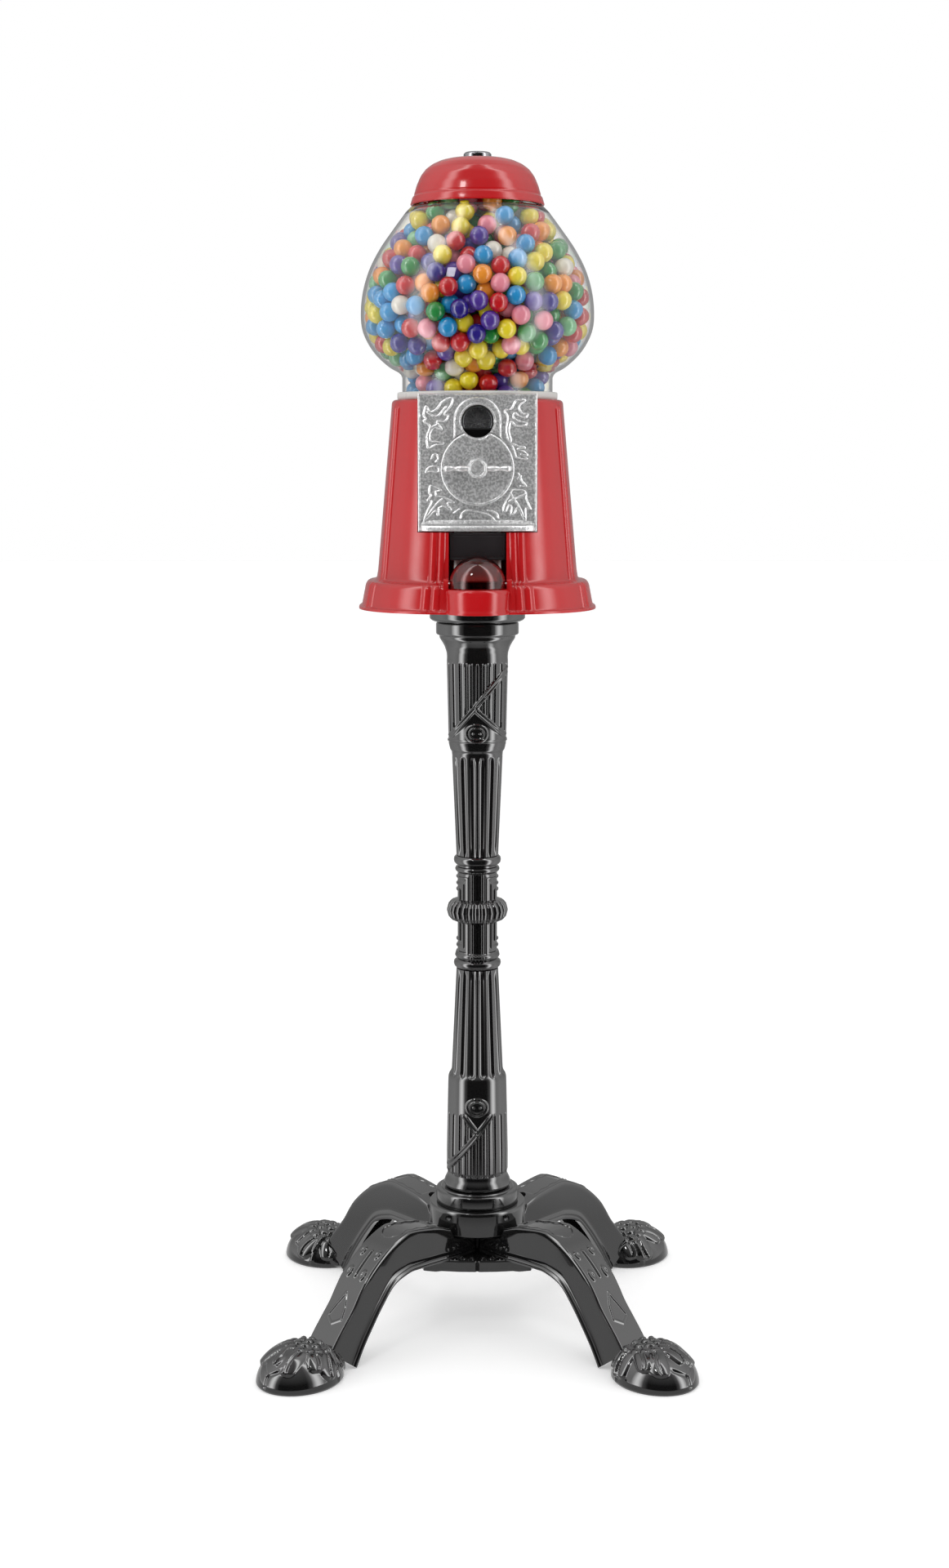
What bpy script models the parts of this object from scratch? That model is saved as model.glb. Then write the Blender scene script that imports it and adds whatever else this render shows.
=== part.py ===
"""Gumball machine on a cast pedestal: solids, sizes and joint axes.

The origin is on the floor under the column, +Z is up and the machine faces -Y.
All the sizes below are in millimetres. MM turns them into Blender's metres.
"""
import math

import bmesh
import bpy
from mathutils import Matrix, Vector

MM = 0.001
GAP = 0.3                    # left between pieces that touch

# Heights along the axis, from the floor up
STAR_Z = (52.7, 60.6)
HUB_Z = (60.9, 98.8)
COLLAR_Z = (99.1, 111.2)
LOWER_COLUMN_Z = (111.5, 294.7)
BOSS_Z = (295.0, 388.0)
UPPER_COLUMN_Z = (388.3, 576.8)
TOP_PLATE_Z = (577.1, 587.7)
MACHINE_Z = 588.0
DECK_Z = (705.0, 708.7)
BODY_TOP_Z = 750.5
GLOBE_Z = 753.4
MOUTH_Z = 906.0
LID_Z = 899.6
TOTAL_Z = 940.0

# Radii of the main pieces
ROD_R = 4.0
HUB_R = 39.6
CENTRE_ROD_R = 3.0
BODY_BOTTOM_R = 93.9
BODY_TOP_R = 67.2
BODY_POWER = 2.45            # of the superellipse that is the body's plan
WALL = 2.2
GLASS = 3.0

# Legs: u runs outwards from the axis, along the leg
LEG_WIDTH = 30.0
FOOT_U = 194.0
FOOT_SIZE = (36.5, 31.5, 29.0)
BOLT_U = 51.0

# Coin mechanism: everything turns on one axis along Y
KNOB_Z = 697.7
KNOB_R = 28.2
WINDOW_Z = 733.3
WINDOW_R = 12.4
PLATE_X = 45.5
PLATE_Z = (650.0, 754.0)
PLATE_Y = (-66.0, -63.4)
COIN_R = 12.0
CARRIER_Y = (-55.0, -52.8)
BACK_PLATE_Y = (-51.7, -49.9)
RATCHET_Y = (-60.8, -58.8)
PINION_Y = (-48.5, -44.0)
PAWL_PIVOT = (11.7, 17.0)    # X, and height above the knob's axis
PAWL_RIDE = 8.0              # degrees the pawl is drawn lifted, riding just clear of the teeth
SHAFT_R = 3.5
SHAFT_Y = (-77.0, -42.5)

# Gum wheel and its crown of pegs
POCKET_COUNT = 8
POCKET_R = 8.6
POCKET_U = 33.0
WHEEL_Z = (713.0, 729.5)
WHEEL_R = 42.4
RING_R = (42.8, 51.0)
PEG_COUNT = 32
PEG_R = (43.4, 49.5)
PEG_Z = 709.3
TOOTH_COUNT = 8

# Cup, flap and chute
CUP_Y = -84.0
CUP_R = 24.6
CUP_HOLE_R = 21.2
CUP_Z = 607.5
FLAP_Z = 611.0
FLAP_R = 21.2
SLIDE_END = (-61.5, 612.0)   # Y and Z of the floor's lower end
SLIDE_TOP = (-18.0, 662.0)


def clear_scene():
    for old in list(bpy.data.objects):
        bpy.data.objects.remove(old, do_unlink=True)


def new_collection(name):
    collection = bpy.data.collections.new(name)
    bpy.context.scene.collection.children.link(collection)
    return collection


def make_material(name, colour, roughness, metallic=0.0, alpha=1.0):
    material = bpy.data.materials.new(name)
    material.use_nodes = True
    shader = material.node_tree.nodes["Principled BSDF"]
    shader.inputs["Base Color"].default_value = (*colour, 1.0)
    shader.inputs["Roughness"].default_value = roughness
    shader.inputs["Metallic"].default_value = metallic
    shader.inputs["Alpha"].default_value = alpha
    return material


clear_scene()
PARTS = new_collection("gumball_machine")
CUTTERS = new_collection("cutters")
RED = make_material("red_paint", (0.62, 0.012, 0.015), 0.22)
BLACK = make_material("black_paint", (0.012, 0.012, 0.013), 0.25)
DIE_CAST = make_material("die_cast", (0.62, 0.63, 0.64), 0.35, 1.0)
STEEL = make_material("steel", (0.55, 0.56, 0.58), 0.3, 1.0)
BRASS = make_material("brass", (0.72, 0.52, 0.22), 0.3, 1.0)
WHITE = make_material("white_plastic", (0.78, 0.79, 0.78), 0.4)
SMOKE = make_material("smoke_plastic", (0.03, 0.012, 0.014), 0.12)
CLEAR = make_material("clear_plastic", (0.9, 0.9, 0.9), 0.05, 0.0, 0.3)
GLASS_MAT = make_material("glass", (0.95, 0.97, 0.97), 0.02, 0.0, 0.3)
RUBBER = make_material("rubber", (0.05, 0.05, 0.05), 0.7)
GUM = make_material("gum", (0.85, 0.6, 0.1), 0.3)
LOCK = make_material("dark_chrome", (0.25, 0.24, 0.25), 0.2, 1.0)


# ---- Modelling helpers -------------------------------------------------------------------

def link(name, mesh, material, cutter=False):
    """Put a mesh in the scene as a named part, or as a hidden cutter."""
    piece = bpy.data.objects.new(name, mesh)
    (CUTTERS if cutter else PARTS).objects.link(piece)
    if cutter:
        piece.hide_render = True
        piece.display_type = "WIRE"
    else:
        mesh.materials.append(material)
    return piece


def mesh_from(bm, name):
    mesh = bpy.data.meshes.new(name)
    bm.to_mesh(mesh)
    bm.free()
    return mesh


def turned(name, profile, material, segments=24, closed=False):
    """A profile of (radius, z) points, top to bottom down the outer side, turned about Z."""
    mesh = bpy.data.meshes.new(name)
    points = [(radius * MM, 0.0, z * MM) for radius, z in profile]
    edges = [(i, i + 1) for i in range(len(points) - 1)]
    if closed:
        edges.append((len(points) - 1, 0))
    mesh.from_pydata(points, edges, [])
    piece = link(name, mesh, material)
    screw = piece.modifiers.new("Turn", "SCREW")
    screw.steps = segments
    screw.render_steps = segments
    screw.use_merge_vertices = True
    screw.merge_threshold = 0.00001
    return piece


def sleeve(name, outer, bore, material, segments=24):
    """A turned piece with a straight bore: outer is its outer side, top to bottom."""
    top = (bore, outer[0][1])
    bottom = (bore, outer[-1][1])
    return turned(name, [*outer, bottom, top], material, segments, closed=True)


def baked(piece):
    """Apply a piece's modifiers, so its points can be moved or it can be joined."""
    graph = bpy.context.evaluated_depsgraph_get()
    mesh = bpy.data.meshes.new_from_object(piece.evaluated_get(graph))
    piece.modifiers.clear()
    piece.data = mesh
    return piece


def box(name, low, high, material=None, cutter=False):
    """A box between two corners."""
    size = [b - a for a, b in zip(low, high)]
    centre = [(a + b) / 2 for a, b in zip(low, high)]
    bm = bmesh.new()
    bmesh.ops.create_cube(bm, size=1.0)
    bmesh.ops.scale(bm, vec=[side * MM for side in size], verts=bm.verts)
    piece = link(name, mesh_from(bm, name), material, cutter)
    piece.location = [c * MM for c in centre]
    return piece


AXES = {"X": (0, math.pi / 2, 0), "Y": (math.pi / 2, 0, 0), "Z": (0, 0, 0)}


def rod(name, radius, start, end, axis, at, material=None, cutter=False, segments=24):
    """A round bar along an axis from start to end; at holds its other two coordinates."""
    bm = bmesh.new()
    bmesh.ops.create_cone(
        bm, cap_ends=True, segments=segments, radius1=radius * MM, radius2=radius * MM,
        depth=abs(end - start) * MM)
    piece = link(name, mesh_from(bm, name), material, cutter)
    place = list(at)
    place.insert("XYZ".index(axis), (start + end) / 2)
    piece.location = [c * MM for c in place]
    piece.rotation_euler = AXES[axis]
    return piece


def outline(name, loops, thickness, material=None, cutter=False):
    """A flat outline, with holes as further loops, as thick as given, centred on its plane."""
    curve = bpy.data.curves.new(name, "CURVE")
    curve.dimensions = "2D"
    curve.fill_mode = "BOTH"
    curve.extrude = thickness / 2 * MM
    for loop in loops:
        spline = curve.splines.new("POLY")
        spline.points.add(len(loop) - 1)
        for point, (x, y) in zip(spline.points, loop):
            point.co = (x * MM, y * MM, 0.0, 1.0)
        spline.use_cyclic_u = True
    source = bpy.data.objects.new(name + "_curve", curve)
    PARTS.objects.link(source)
    graph = bpy.context.evaluated_depsgraph_get()
    mesh = bpy.data.meshes.new_from_object(source.evaluated_get(graph))
    bpy.data.objects.remove(source)
    bm = bmesh.new()
    bm.from_mesh(mesh)
    bmesh.ops.remove_doubles(bm, verts=bm.verts, dist=0.00001)
    bmesh.ops.recalc_face_normals(bm, faces=bm.faces)
    bm.to_mesh(mesh)
    bm.free()
    return link(name, mesh, material, cutter)


def boolean(piece, other, operation="DIFFERENCE"):
    modifier = piece.modifiers.new(other.name, "BOOLEAN")
    modifier.operation = operation
    modifier.solver = "EXACT"
    modifier.object = other
    return piece


def circle(radius, count, centre=(0.0, 0.0)):
    turns = [2 * math.pi * i / count for i in range(count)]
    return [(centre[0] + radius * math.cos(a), centre[1] + radius * math.sin(a)) for a in turns]


def inset(profile, depth):
    """The same (radius, z) outline, moved inwards by depth along its normals."""
    moved = []
    for i, (radius, z) in enumerate(profile):
        before = profile[max(i - 1, 0)]
        after = profile[min(i + 1, len(profile) - 1)]
        run = Vector((after[0] - before[0], after[1] - before[1])).normalized()
        moved.append((radius + run.y * depth, z - run.x * depth))
    return moved


def hex_nut(name, radius, span):
    """A six-sided nut around the axis, between two heights."""
    nut = outline(name, [circle(radius, 6), circle(ROD_R + GAP, 16)], span[1] - span[0], STEEL)
    nut.location.z = sum(span) / 2 * MM
    return nut


# ---- Stand: turned castings on one long tie rod ---------------------------------------------

COLUMN_BORE = 5.0


def make_column():
    sleeve("stand_top_plate", [
        (37.4, TOP_PLATE_Z[1]), (38.1, TOP_PLATE_Z[1] - 1), (38.1, TOP_PLATE_Z[0] + 1),
        (37.4, TOP_PLATE_Z[0])], COLUMN_BORE, BLACK, 24)
    sleeve("upper_column", [
        (33.0, UPPER_COLUMN_Z[1]), (33.0, 566.5), (30.2, 565.4), (26.5, 558.0), (23.9, 552.0),
        (24.5, 547.0), (23.0, 480.0), (21.7, 473.5), (20.4, 469.5),
        (16.9, UPPER_COLUMN_Z[0])], COLUMN_BORE, BLACK, 20)
    ring = [(16.2, 388.0), (18.4, 387.4), (18.9, 384.5), (18.4, 381.6), (16.2, 378.0),
            (16.2, 375.0), (16.9, 373.5), (16.9, 352.5)]
    bulb = [(20.8, 351.3), (24.0, 347.5), (24.6, 343.0), (24.0, 338.5), (20.8, 334.7)]
    foot = [(17.6, 333.5), (17.6, 307.5), (19.0, 306.0), (18.2, 301.0), (19.0, 298.0),
            (18.4, BOSS_Z[0])]
    sleeve("centre_boss", ring + bulb + foot, COLUMN_BORE, BLACK, 18)
    sleeve("lower_column", [
        (17.0, LOWER_COLUMN_Z[1]), (21.1, 209.0), (23.5, 203.0), (25.3, 140.0), (24.6, 131.0),
        (25.4, 123.0), (27.3, 118.0), (27.7, LOWER_COLUMN_Z[0])], COLUMN_BORE, BLACK, 20)
    sleeve("hub_collar", [
        (33.2, COLLAR_Z[1]), (34.0, COLLAR_Z[1] - 1.2), (34.0, COLLAR_Z[0])],
        COLUMN_BORE, BLACK, 24)
    sleeve("leg_hub", [
        (38.6, HUB_Z[1]), (HUB_R, HUB_Z[1] - 1.4), (HUB_R, 79.2), (38.6, 78.0), (16.0, 78.0),
        (16.0, HUB_Z[0])], COLUMN_BORE, BLACK, 24)
    rod("tie_rod", ROD_R, 43.0, 598.8, "Z", (0, 0), STEEL, segments=16)
    hex_nut("tie_rod_nut", 8.0, (46.0, STAR_Z[0] - GAP))


def make_star_plate():
    lobe = [(-29.0, 44.5), (-15.0, 46.3), (-1.6, 46.8), (0.0, 45.0), (1.6, 46.8), (15.0, 46.3),
            (29.0, 44.5), (34.0, 46.0), (43.5, 43.5), (46.0, 34.0)]
    points = []
    for i in range(4):
        turn = Matrix.Rotation(-i * math.pi / 2, 2)
        points += [tuple(turn @ Vector(point)) for point in lobe]
    plate = outline("star_plate", [points, circle(COLUMN_BORE, 16)], STAR_Z[1] - STAR_Z[0], BLACK)
    plate.location.z = sum(STAR_Z) / 2 * MM
    for i in range(4):
        angle = math.pi / 4 + i * math.pi / 2
        at = (BOLT_U * math.cos(angle), BOLT_U * math.sin(angle))
        boolean(plate, rod(f"cut_star_{i}", 3.0, 40, 70, "Z", at, cutter=True, segments=12))


LEG_TOP = [
    (44.5, 87.0), (60.0, 92.0), (85.0, 96.0), (96.0, 95.0), (112.0, 88.0), (125.0, 79.0),
    (137.0, 68.0), (144.0, 59.0), (151.0, 48.5), (159.0, 39.0), (167.0, 29.5), (175.0, 19.0)]
LEG_UNDER = [
    (190.0, 8.0), (190.0, -4.0), (149.0, -4.0), (140.0, 14.0), (129.0, 27.0), (112.0, 46.0),
    (109.0, 50.0), (92.0, 57.0), (80.0, 58.5), (56.0, 61.0), (18.0, 61.0)]
LEG_ROOT = [(18.0, HUB_Z[0] + 16.7), (40.5, HUB_Z[0] + 16.7)]
CHANNEL = [
    (56.0, 50.0), (60.0, 87.0), (84.0, 90.5), (95.0, 89.5), (109.0, 83.5), (121.0, 75.0),
    (132.5, 64.5), (139.0, 56.0), (146.0, 45.5), (151.0, 38.0), (151.0, 24.0), (140.0, 5.0),
    (122.0, 20.0), (105.0, 38.0), (88.0, 48.0)]
CHANNEL_WIDTH = 21.0


def make_leg(name, angle):
    upright = (math.pi / 2, 0, angle)
    leg = outline(name, [LEG_ROOT + LEG_TOP + LEG_UNDER], LEG_WIDTH, BLACK)
    leg.rotation_euler = upright
    across = Vector((math.cos(angle), math.sin(angle)))
    hollow = outline(f"cut_hollow_{name}", [CHANNEL], CHANNEL_WIDTH, cutter=True)
    hollow.rotation_euler = upright
    boolean(leg, hollow)
    bm = bmesh.new()
    bmesh.ops.create_uvsphere(bm, u_segments=16, v_segments=8, radius=1.0)
    bmesh.ops.scale(bm, vec=[side * MM for side in FOOT_SIZE], verts=bm.verts)
    paw = link(f"add_paw_{name}", mesh_from(bm, name + "_paw"), None, cutter=True)
    paw.location = (*(across * FOOT_U * MM), 0.0)
    paw.rotation_euler = (0, 0, angle)
    boolean(leg, paw, "UNION")
    boolean(leg, box(f"cut_floor_{name}", (-260, -260, -40), (260, 260, 0), cutter=True))
    at = across * BOLT_U
    boolean(leg, rod(f"cut_shank_{name}", 3.0, 50, 95, "Z", at, cutter=True, segments=12))
    boolean(leg, rod(f"cut_recess_{name}", 4.8, 83.0, 99, "Z", at, cutter=True, segments=16))
    bolt = turned("leg_bolt" + name[3:], [
        (0, 88.4), (3.4, 88.4), (4.2, 87.2), (4.2, 83.3), (2.7, 83.3), (2.7, 53.4), (0, 53.4)],
        STEEL, 16)
    bolt.location = (*(at * MM), 0.0)


def make_legs():
    for name, degrees in (("leg_front_left", 225), ("leg_front_right", 315),
                          ("leg_rear_right", 45), ("leg_rear_left", 135)):
        make_leg(name, math.radians(degrees))


# ---- Machine body ---------------------------------------------------------------------------

DECK_HOLE_R = 57.0
SQUARE_FROM_R = 61.0         # inside this radius the body stays round


def superellipse_factor(angle):
    power = BODY_POWER
    return (abs(math.cos(angle)) ** power + abs(math.sin(angle)) ** power) ** (-1 / power)


def square_off(piece):
    """Turn a round plan into a superellipse, outside SQUARE_FROM_R."""
    for vertex in baked(piece).data.vertices:
        radius = math.hypot(vertex.co.x, vertex.co.y)
        if radius > SQUARE_FROM_R * MM:
            factor = superellipse_factor(math.atan2(vertex.co.y, vertex.co.x))
            vertex.co.x *= factor
            vertex.co.y *= factor


def make_body_shell():
    outer = [
        (DECK_HOLE_R, BODY_TOP_Z), (64.8, BODY_TOP_Z), (66.8, 749.6), (BODY_TOP_R, 747.8),
        (78.6, 619.0), (79.6, 613.0), (81.0, 610.8), (86.5, 610.2), (88.3, 608.3), (91.0, 594.0),
        (92.0, 590.9), (BODY_BOTTOM_R, 590.3), (BODY_BOTTOM_R, MACHINE_Z + GAP)]
    inner = [
        (91.4, MACHINE_Z + GAP), (88.8, 594.0), (86.4, 607.8), (80.0, 608.5), (77.4, 612.0),
        (76.4, 619.0), (65.1, 746.6), (64.0, BODY_TOP_Z - WALL), (DECK_HOLE_R, BODY_TOP_Z - WALL)]
    shell = turned("body_shell", outer + inner, RED, 40, closed=True)
    square_off(shell)
    tub = rod("add_cup", CUP_R, MACHINE_Z + GAP, CUP_Z, "Z", (0, CUP_Y), cutter=True, segments=32)
    boolean(shell, tub, "UNION")
    for side in (-1, 1):
        ear = box(f"add_ear_{side}", (22.2, CUP_Y - 3.5, CUP_Z - 2), (26.0, CUP_Y + 3.5, 614.6),
                  cutter=True)
        ear.location.x *= side
        boolean(shell, ear, "UNION")
    passage = box("cut_passage", (-22.0, -99.0, CUP_Z - 0.2), (22.0, -55.0, 649.7), cutter=True)
    boolean(shell, passage)
    hole = rod("cut_cup", CUP_HOLE_R, 591.0, 640.0, "Z", (0, CUP_Y), cutter=True, segments=32)
    boolean(shell, hole)
    window = box("cut_plate_window", (-PLATE_X - 0.4, -99, PLATE_Z[0] - 0.6),
                 (PLATE_X + 0.4, -56.6, 770), cutter=True)
    boolean(shell, window)
    pivots = rod("cut_pivots", 1.5, -30, 30, "X", (CUP_Y, FLAP_Z), cutter=True, segments=12)
    boolean(shell, pivots)


def make_base_plate():
    count = 48
    points = []
    for i in range(count):
        angle = 2 * math.pi * i / count
        radius = 88.6 * superellipse_factor(angle)
        points.append((radius * math.cos(angle), radius * math.sin(angle)))
    plate = outline("base_plate", [points, circle(ROD_R + 0.5, 16)], 2.4, STEEL)
    plate.location.z = (MACHINE_Z + 1.2) * MM
    notch = rod("cut_base_notch", CUP_R + 0.6, 580, 600, "Z", (0, CUP_Y), cutter=True, segments=32)
    boolean(plate, notch)


def make_centre_rod():
    hex_nut("rod_coupler", 7.0, (591.0, 616.0))
    rod("centre_rod", CENTRE_ROD_R, 599.1, 925.0, "Z", (0, 0), STEEL, segments=12)


def make_wheel_deck():
    deck = sleeve("wheel_deck", [
        (42.5, WHEEL_Z[0] - 0.5), (42.5, DECK_Z[1]), (65.0, DECK_Z[1]), (65.0, DECK_Z[0])],
        CENTRE_ROD_R + 0.5, WHITE, 28)
    boolean(deck, box("cut_deck_front", (-80, -90, 700), (80, -49.3, 720), cutter=True))
    boolean(deck, box("cut_deck_slot", (-16, -90, 700), (16, -43.0, 720), cutter=True))
    exit_hole = rod("cut_exit", 9.0, 695, 720, "Z", (0, -POCKET_U), cutter=True)
    boolean(deck, exit_hole)
    for i, degrees in enumerate((30, 90, 150), 1):
        angle = math.radians(degrees)
        at = (60.5 * math.cos(angle), 60.5 * math.sin(angle))
        rod(f"deck_post_{i}", 3.0, DECK_Z[1] + GAP, BODY_TOP_Z - WALL - GAP, "Z", at, WHITE,
            segments=12)


def make_hopper():
    turned("hopper", [
        (60.0, 751.8), (60.0, BODY_TOP_Z + GAP), (55.4, BODY_TOP_Z + GAP), (53.4, 748.0),
        (45.6, 732.0), (45.6, 730.4), (43.9, 730.4), (43.9, 732.6), (52.0, 749.4), (52.0, 751.8)],
        WHITE, 24, closed=True)
    half = math.radians(26)
    steps = [-half + half * i / 4 - math.pi / 2 for i in range(9)]
    arc_out = [(42.6 * math.cos(a), 42.6 * math.sin(a)) for a in steps]
    arc_in = [(19.0 * math.cos(a), 19.0 * math.sin(a)) for a in reversed(steps)]
    cover = outline("wheel_cover", [arc_out + arc_in], 1.8, WHITE)
    cover.location.z = 731.2 * MM


# The bulge of the globe, from the neck up to the shoulder under the lid
GLOBE_SIDE = [
    (59.0, 768.0), (61.2, 771.6), (69.0, 776.0), (78.5, 784.4), (85.4, 793.8), (90.0, 804.6),
    (91.2, 817.0), (89.6, 833.0), (84.6, 850.0), (76.3, 866.0), (65.8, 881.0), (54.6, 896.0)]


def make_globe():
    side = GLOBE_SIDE[::-1]
    outer = [(46.5, MOUTH_Z), (46.5, 901.5), (49.0, 899.0), *side, (59.0, GLOBE_Z)]
    inner = inset(outer, GLASS)
    inner[0] = (43.5, MOUTH_Z)
    inner[-1] = (56.0, GLOBE_Z)
    turned("globe", outer + inner[::-1], GLASS_MAT, 28, closed=True)
    turned("globe_gasket", [
        (61.4, 753.1), (61.4, 752.1), (55.4, 752.1), (55.4, 753.1)], RUBBER, 24, closed=True)
    turned("globe_collar", [
        (62.6, 756.5), (63.0, 755.9), (63.0, BODY_TOP_Z + GAP), (61.8, BODY_TOP_Z + GAP),
        (61.8, 753.6), (59.5, 753.6), (59.5, 756.5)], WHITE, 28, closed=True)
    fill_side = inset(side, GLASS + 0.8)
    fill_side[0] = (47.0, 892.4)
    turned("gumball_fill", [
        (4.0, 893.0), *fill_side, (51.0, 755.0), (51.0, 749.0), (43.0, 733.4), (4.0, 733.4)],
        GUM, 20, closed=True)


def make_lid():
    outer = [
        (5.2, 935.0), (18.0, 935.0), (24.0, 934.6), (31.0, 933.0), (38.0, 929.4), (42.2, 925.5),
        (45.4, 921.5), (48.6, 914.0), (50.4, 907.0), (51.8, 901.0), (51.8, LID_Z)]
    inner = [
        (50.2, LID_Z), (48.8, 907.0), (46.8, 913.6), (43.6, 919.8), (40.8, 923.4), (36.8, 926.8),
        (30.4, 930.4), (24.0, 932.2), (5.2, 932.6)]
    turned("lid", outer + inner, RED, 28, closed=True)
    turned("lid_gasket", [
        (46.6, 909.6), (46.6, MOUTH_Z + GAP), (43.9, MOUTH_Z + GAP), (43.9, 909.6)],
        RUBBER, 24, closed=True)
    lock = turned("lid_lock", [
        (0, TOTAL_Z), (9.4, TOTAL_Z), (10.8, 938.6), (10.8, 935.3), (4.8, 935.3), (4.8, 927.0),
        (0, 927.0)], LOCK, 24)
    boolean(lock, box("cut_key_slot", (-4.5, -0.8, 938.2), (4.5, 0.8, 945), cutter=True))


# ---- Front plate and coin mechanism ----------------------------------------------------------

SCREW_SPOTS = [(-38.5, 734.5), (38.5, 734.5), (-38.5, 659.5), (38.5, 659.5)]


def make_front_plate():
    plate = box("front_plate", (-PLATE_X, PLATE_Y[0], PLATE_Z[0]),
                (PLATE_X, PLATE_Y[1], PLATE_Z[1]), DIE_CAST)
    for side in (-1, 1):
        flank = box(f"add_flank_{side}", (PLATE_X - 2.5, PLATE_Y[1] - 1, PLATE_Z[0] + 0.01),
                    (PLATE_X - 0.01, -57.2, 749.9), cutter=True)
        flank.location.x *= side
        boolean(plate, flank, "UNION")
    reach = 43.5
    depth = 13.0
    lip_points = [(reach * math.sin(a), -65.0 - depth * math.cos(a) ** 0.7)
                  for a in [math.radians(d) for d in (-90, -70, -50, -30, -10, 10, 30, 50, 70)]]
    lip = outline("add_lip", [[*lip_points, (reach, -65.0)]], 4.4, cutter=True)
    lip.location.z = (PLATE_Z[0] + 2.6) * MM
    boolean(plate, lip, "UNION")
    ring = rod("add_ring", 18.0, -67.4, -65.0, "Y", (0, WINDOW_Z), cutter=True, segments=32)
    clear_disc = rod("cut_ring", KNOB_R + 0.8, -70, -66.0 + 0.02, "Y", (0, KNOB_Z), cutter=True,
                     segments=40)
    boolean(plate, ring, "UNION")
    boolean(plate, clear_disc)
    boolean(plate, rod("cut_window", WINDOW_R, -80, -50, "Y", (0, WINDOW_Z), cutter=True,
                       segments=32))
    boolean(plate, rod("cut_bush", 6.3, -80, -50, "Y", (0, KNOB_Z), cutter=True))
    bush = turned("shaft_bush", [
        (9.0, 1.8), (9.0, 0.0), (6.0, 0.0), (6.0, -2.9), (3.8, -2.9), (3.8, 1.8)],
        BRASS, 24, closed=True)
    bush.rotation_euler = (-math.pi / 2, 0, 0)
    bush.location = (0, -63.0 * MM, KNOB_Z * MM)


def make_back_plate():
    middle = sum(BACK_PLATE_Y) / 2
    loop = [(-41.5, 655.0), (41.5, 655.0), (41.5, 739.0), (20.0, 739.0), (20.0, 706.5),
            (-20.0, 706.5), (-20.0, 739.0), (-41.5, 739.0)]
    holes = [circle(2.4, 12, spot) for spot in SCREW_SPOTS]
    plate = outline("mech_back_plate", [loop, circle(3.9, 16, (0, KNOB_Z)), *holes],
                    BACK_PLATE_Y[1] - BACK_PLATE_Y[0], STEEL)
    plate.rotation_euler = (math.pi / 2, 0, 0)
    plate.location.y = middle * MM
    for i, (x, z) in enumerate(SCREW_SPOTS, 1):
        screw = turned(f"plate_screw_{i}", [
            (0, 2.4), (3.6, 2.4), (4.2, 1.6), (4.2, 0.3), (2.0, 0.3), (2.0, -13.2), (0, -13.2)],
            STEEL, 12)
        screw.rotation_euler = (-math.pi / 2, 0, 0)
        screw.location = (x * MM, BACK_PLATE_Y[1] * MM, z * MM)


def flat_disc(name, loops, span, material):
    """An outline in the XZ plane around the knob's axis, between two values of Y."""
    piece = outline(name, loops, span[1] - span[0], material)
    piece.rotation_euler = (math.pi / 2, 0, 0)
    piece.location = (0, sum(span) / 2 * MM, KNOB_Z * MM)
    return piece


def make_knob():
    knob = turned("turn_knob", [
        (0, 15.0), (5.6, 15.0), (7.0, 13.6), (7.0, 4.4), (KNOB_R - 1.0, 3.6), (KNOB_R, 2.8),
        (KNOB_R, 0.3), (0, 0.3)], DIE_CAST, 32)
    knob.rotation_euler = (math.pi / 2, 0, 0)
    knob.location = (0, PLATE_Y[0] * MM, KNOB_Z * MM)
    bar = box("add_bar", (-26.7, -79.6, KNOB_Z - 2.0), (26.7, -69.0, KNOB_Z + 2.0), cutter=True)
    boolean(knob, bar, "UNION")
    bite = rod("cut_bite", WINDOW_R + 0.8, -90, -60, "Y", (0, WINDOW_Z), cutter=True, segments=32)
    boolean(knob, bite)
    boolean(knob, rod("cut_knob_bore", SHAFT_R + GAP, SHAFT_Y[0] - GAP, -60, "Y", (0, KNOB_Z),
                      cutter=True, segments=16))
    rod("knob_shaft", SHAFT_R, *SHAFT_Y, "Y", (0, KNOB_Z), STEEL, segments=16)


def make_coin_parts():
    bore = circle(SHAFT_R + GAP, 16)
    carrier = flat_disc("coin_carrier", [circle(40.0, 48), bore], CARRIER_Y, STEEL)
    notch = rod("cut_notch", COIN_R + GAP, -60, -40, "Y", (0, WINDOW_Z), cutter=True, segments=32)
    boolean(carrier, notch)
    middle = sum(CARRIER_Y) / 2
    rod("coin", COIN_R, middle - 0.9, middle + 0.9, "Y", (0, WINDOW_Z), DIE_CAST, segments=32)
    flat_disc("shaft_clip", [circle(5.5, 16), bore], (-43.6, -42.9), STEEL)


def make_ratchet():
    count = 8
    points = []
    for i in range(count):
        start = 2 * math.pi * i / count
        points.append((10.0 * math.cos(start), 10.0 * math.sin(start)))
        points.append((7.4 * math.cos(start), 7.4 * math.sin(start)))
        middle = start + math.pi / count
        points.append((8.9 * math.cos(middle), 8.9 * math.sin(middle)))
    bore = circle(SHAFT_R + GAP, 16)
    flat_disc("ratchet_wheel", [points, bore], RATCHET_Y, STEEL)
    hook = [(8.1, 0.9), (10.7, 0.9), (15.2, 13.0), (15.2, 20.6), (8.2, 20.6), (8.2, 13.5),
            (10.1, 5.0)]
    pivot = Vector(PAWL_PIVOT)
    lift = Matrix.Rotation(math.radians(PAWL_RIDE), 2)
    hook = [tuple(pivot + lift @ (Vector(point) - pivot)) for point in hook]
    flat_disc("pawl", [hook, circle(1.9, 12, PAWL_PIVOT)], RATCHET_Y, BRASS)
    rod("pawl_pin", 1.6, PLATE_Y[1] + GAP, -57.9, "Y",
        (PAWL_PIVOT[0], KNOB_Z + PAWL_PIVOT[1]), STEEL, segments=12)


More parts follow.
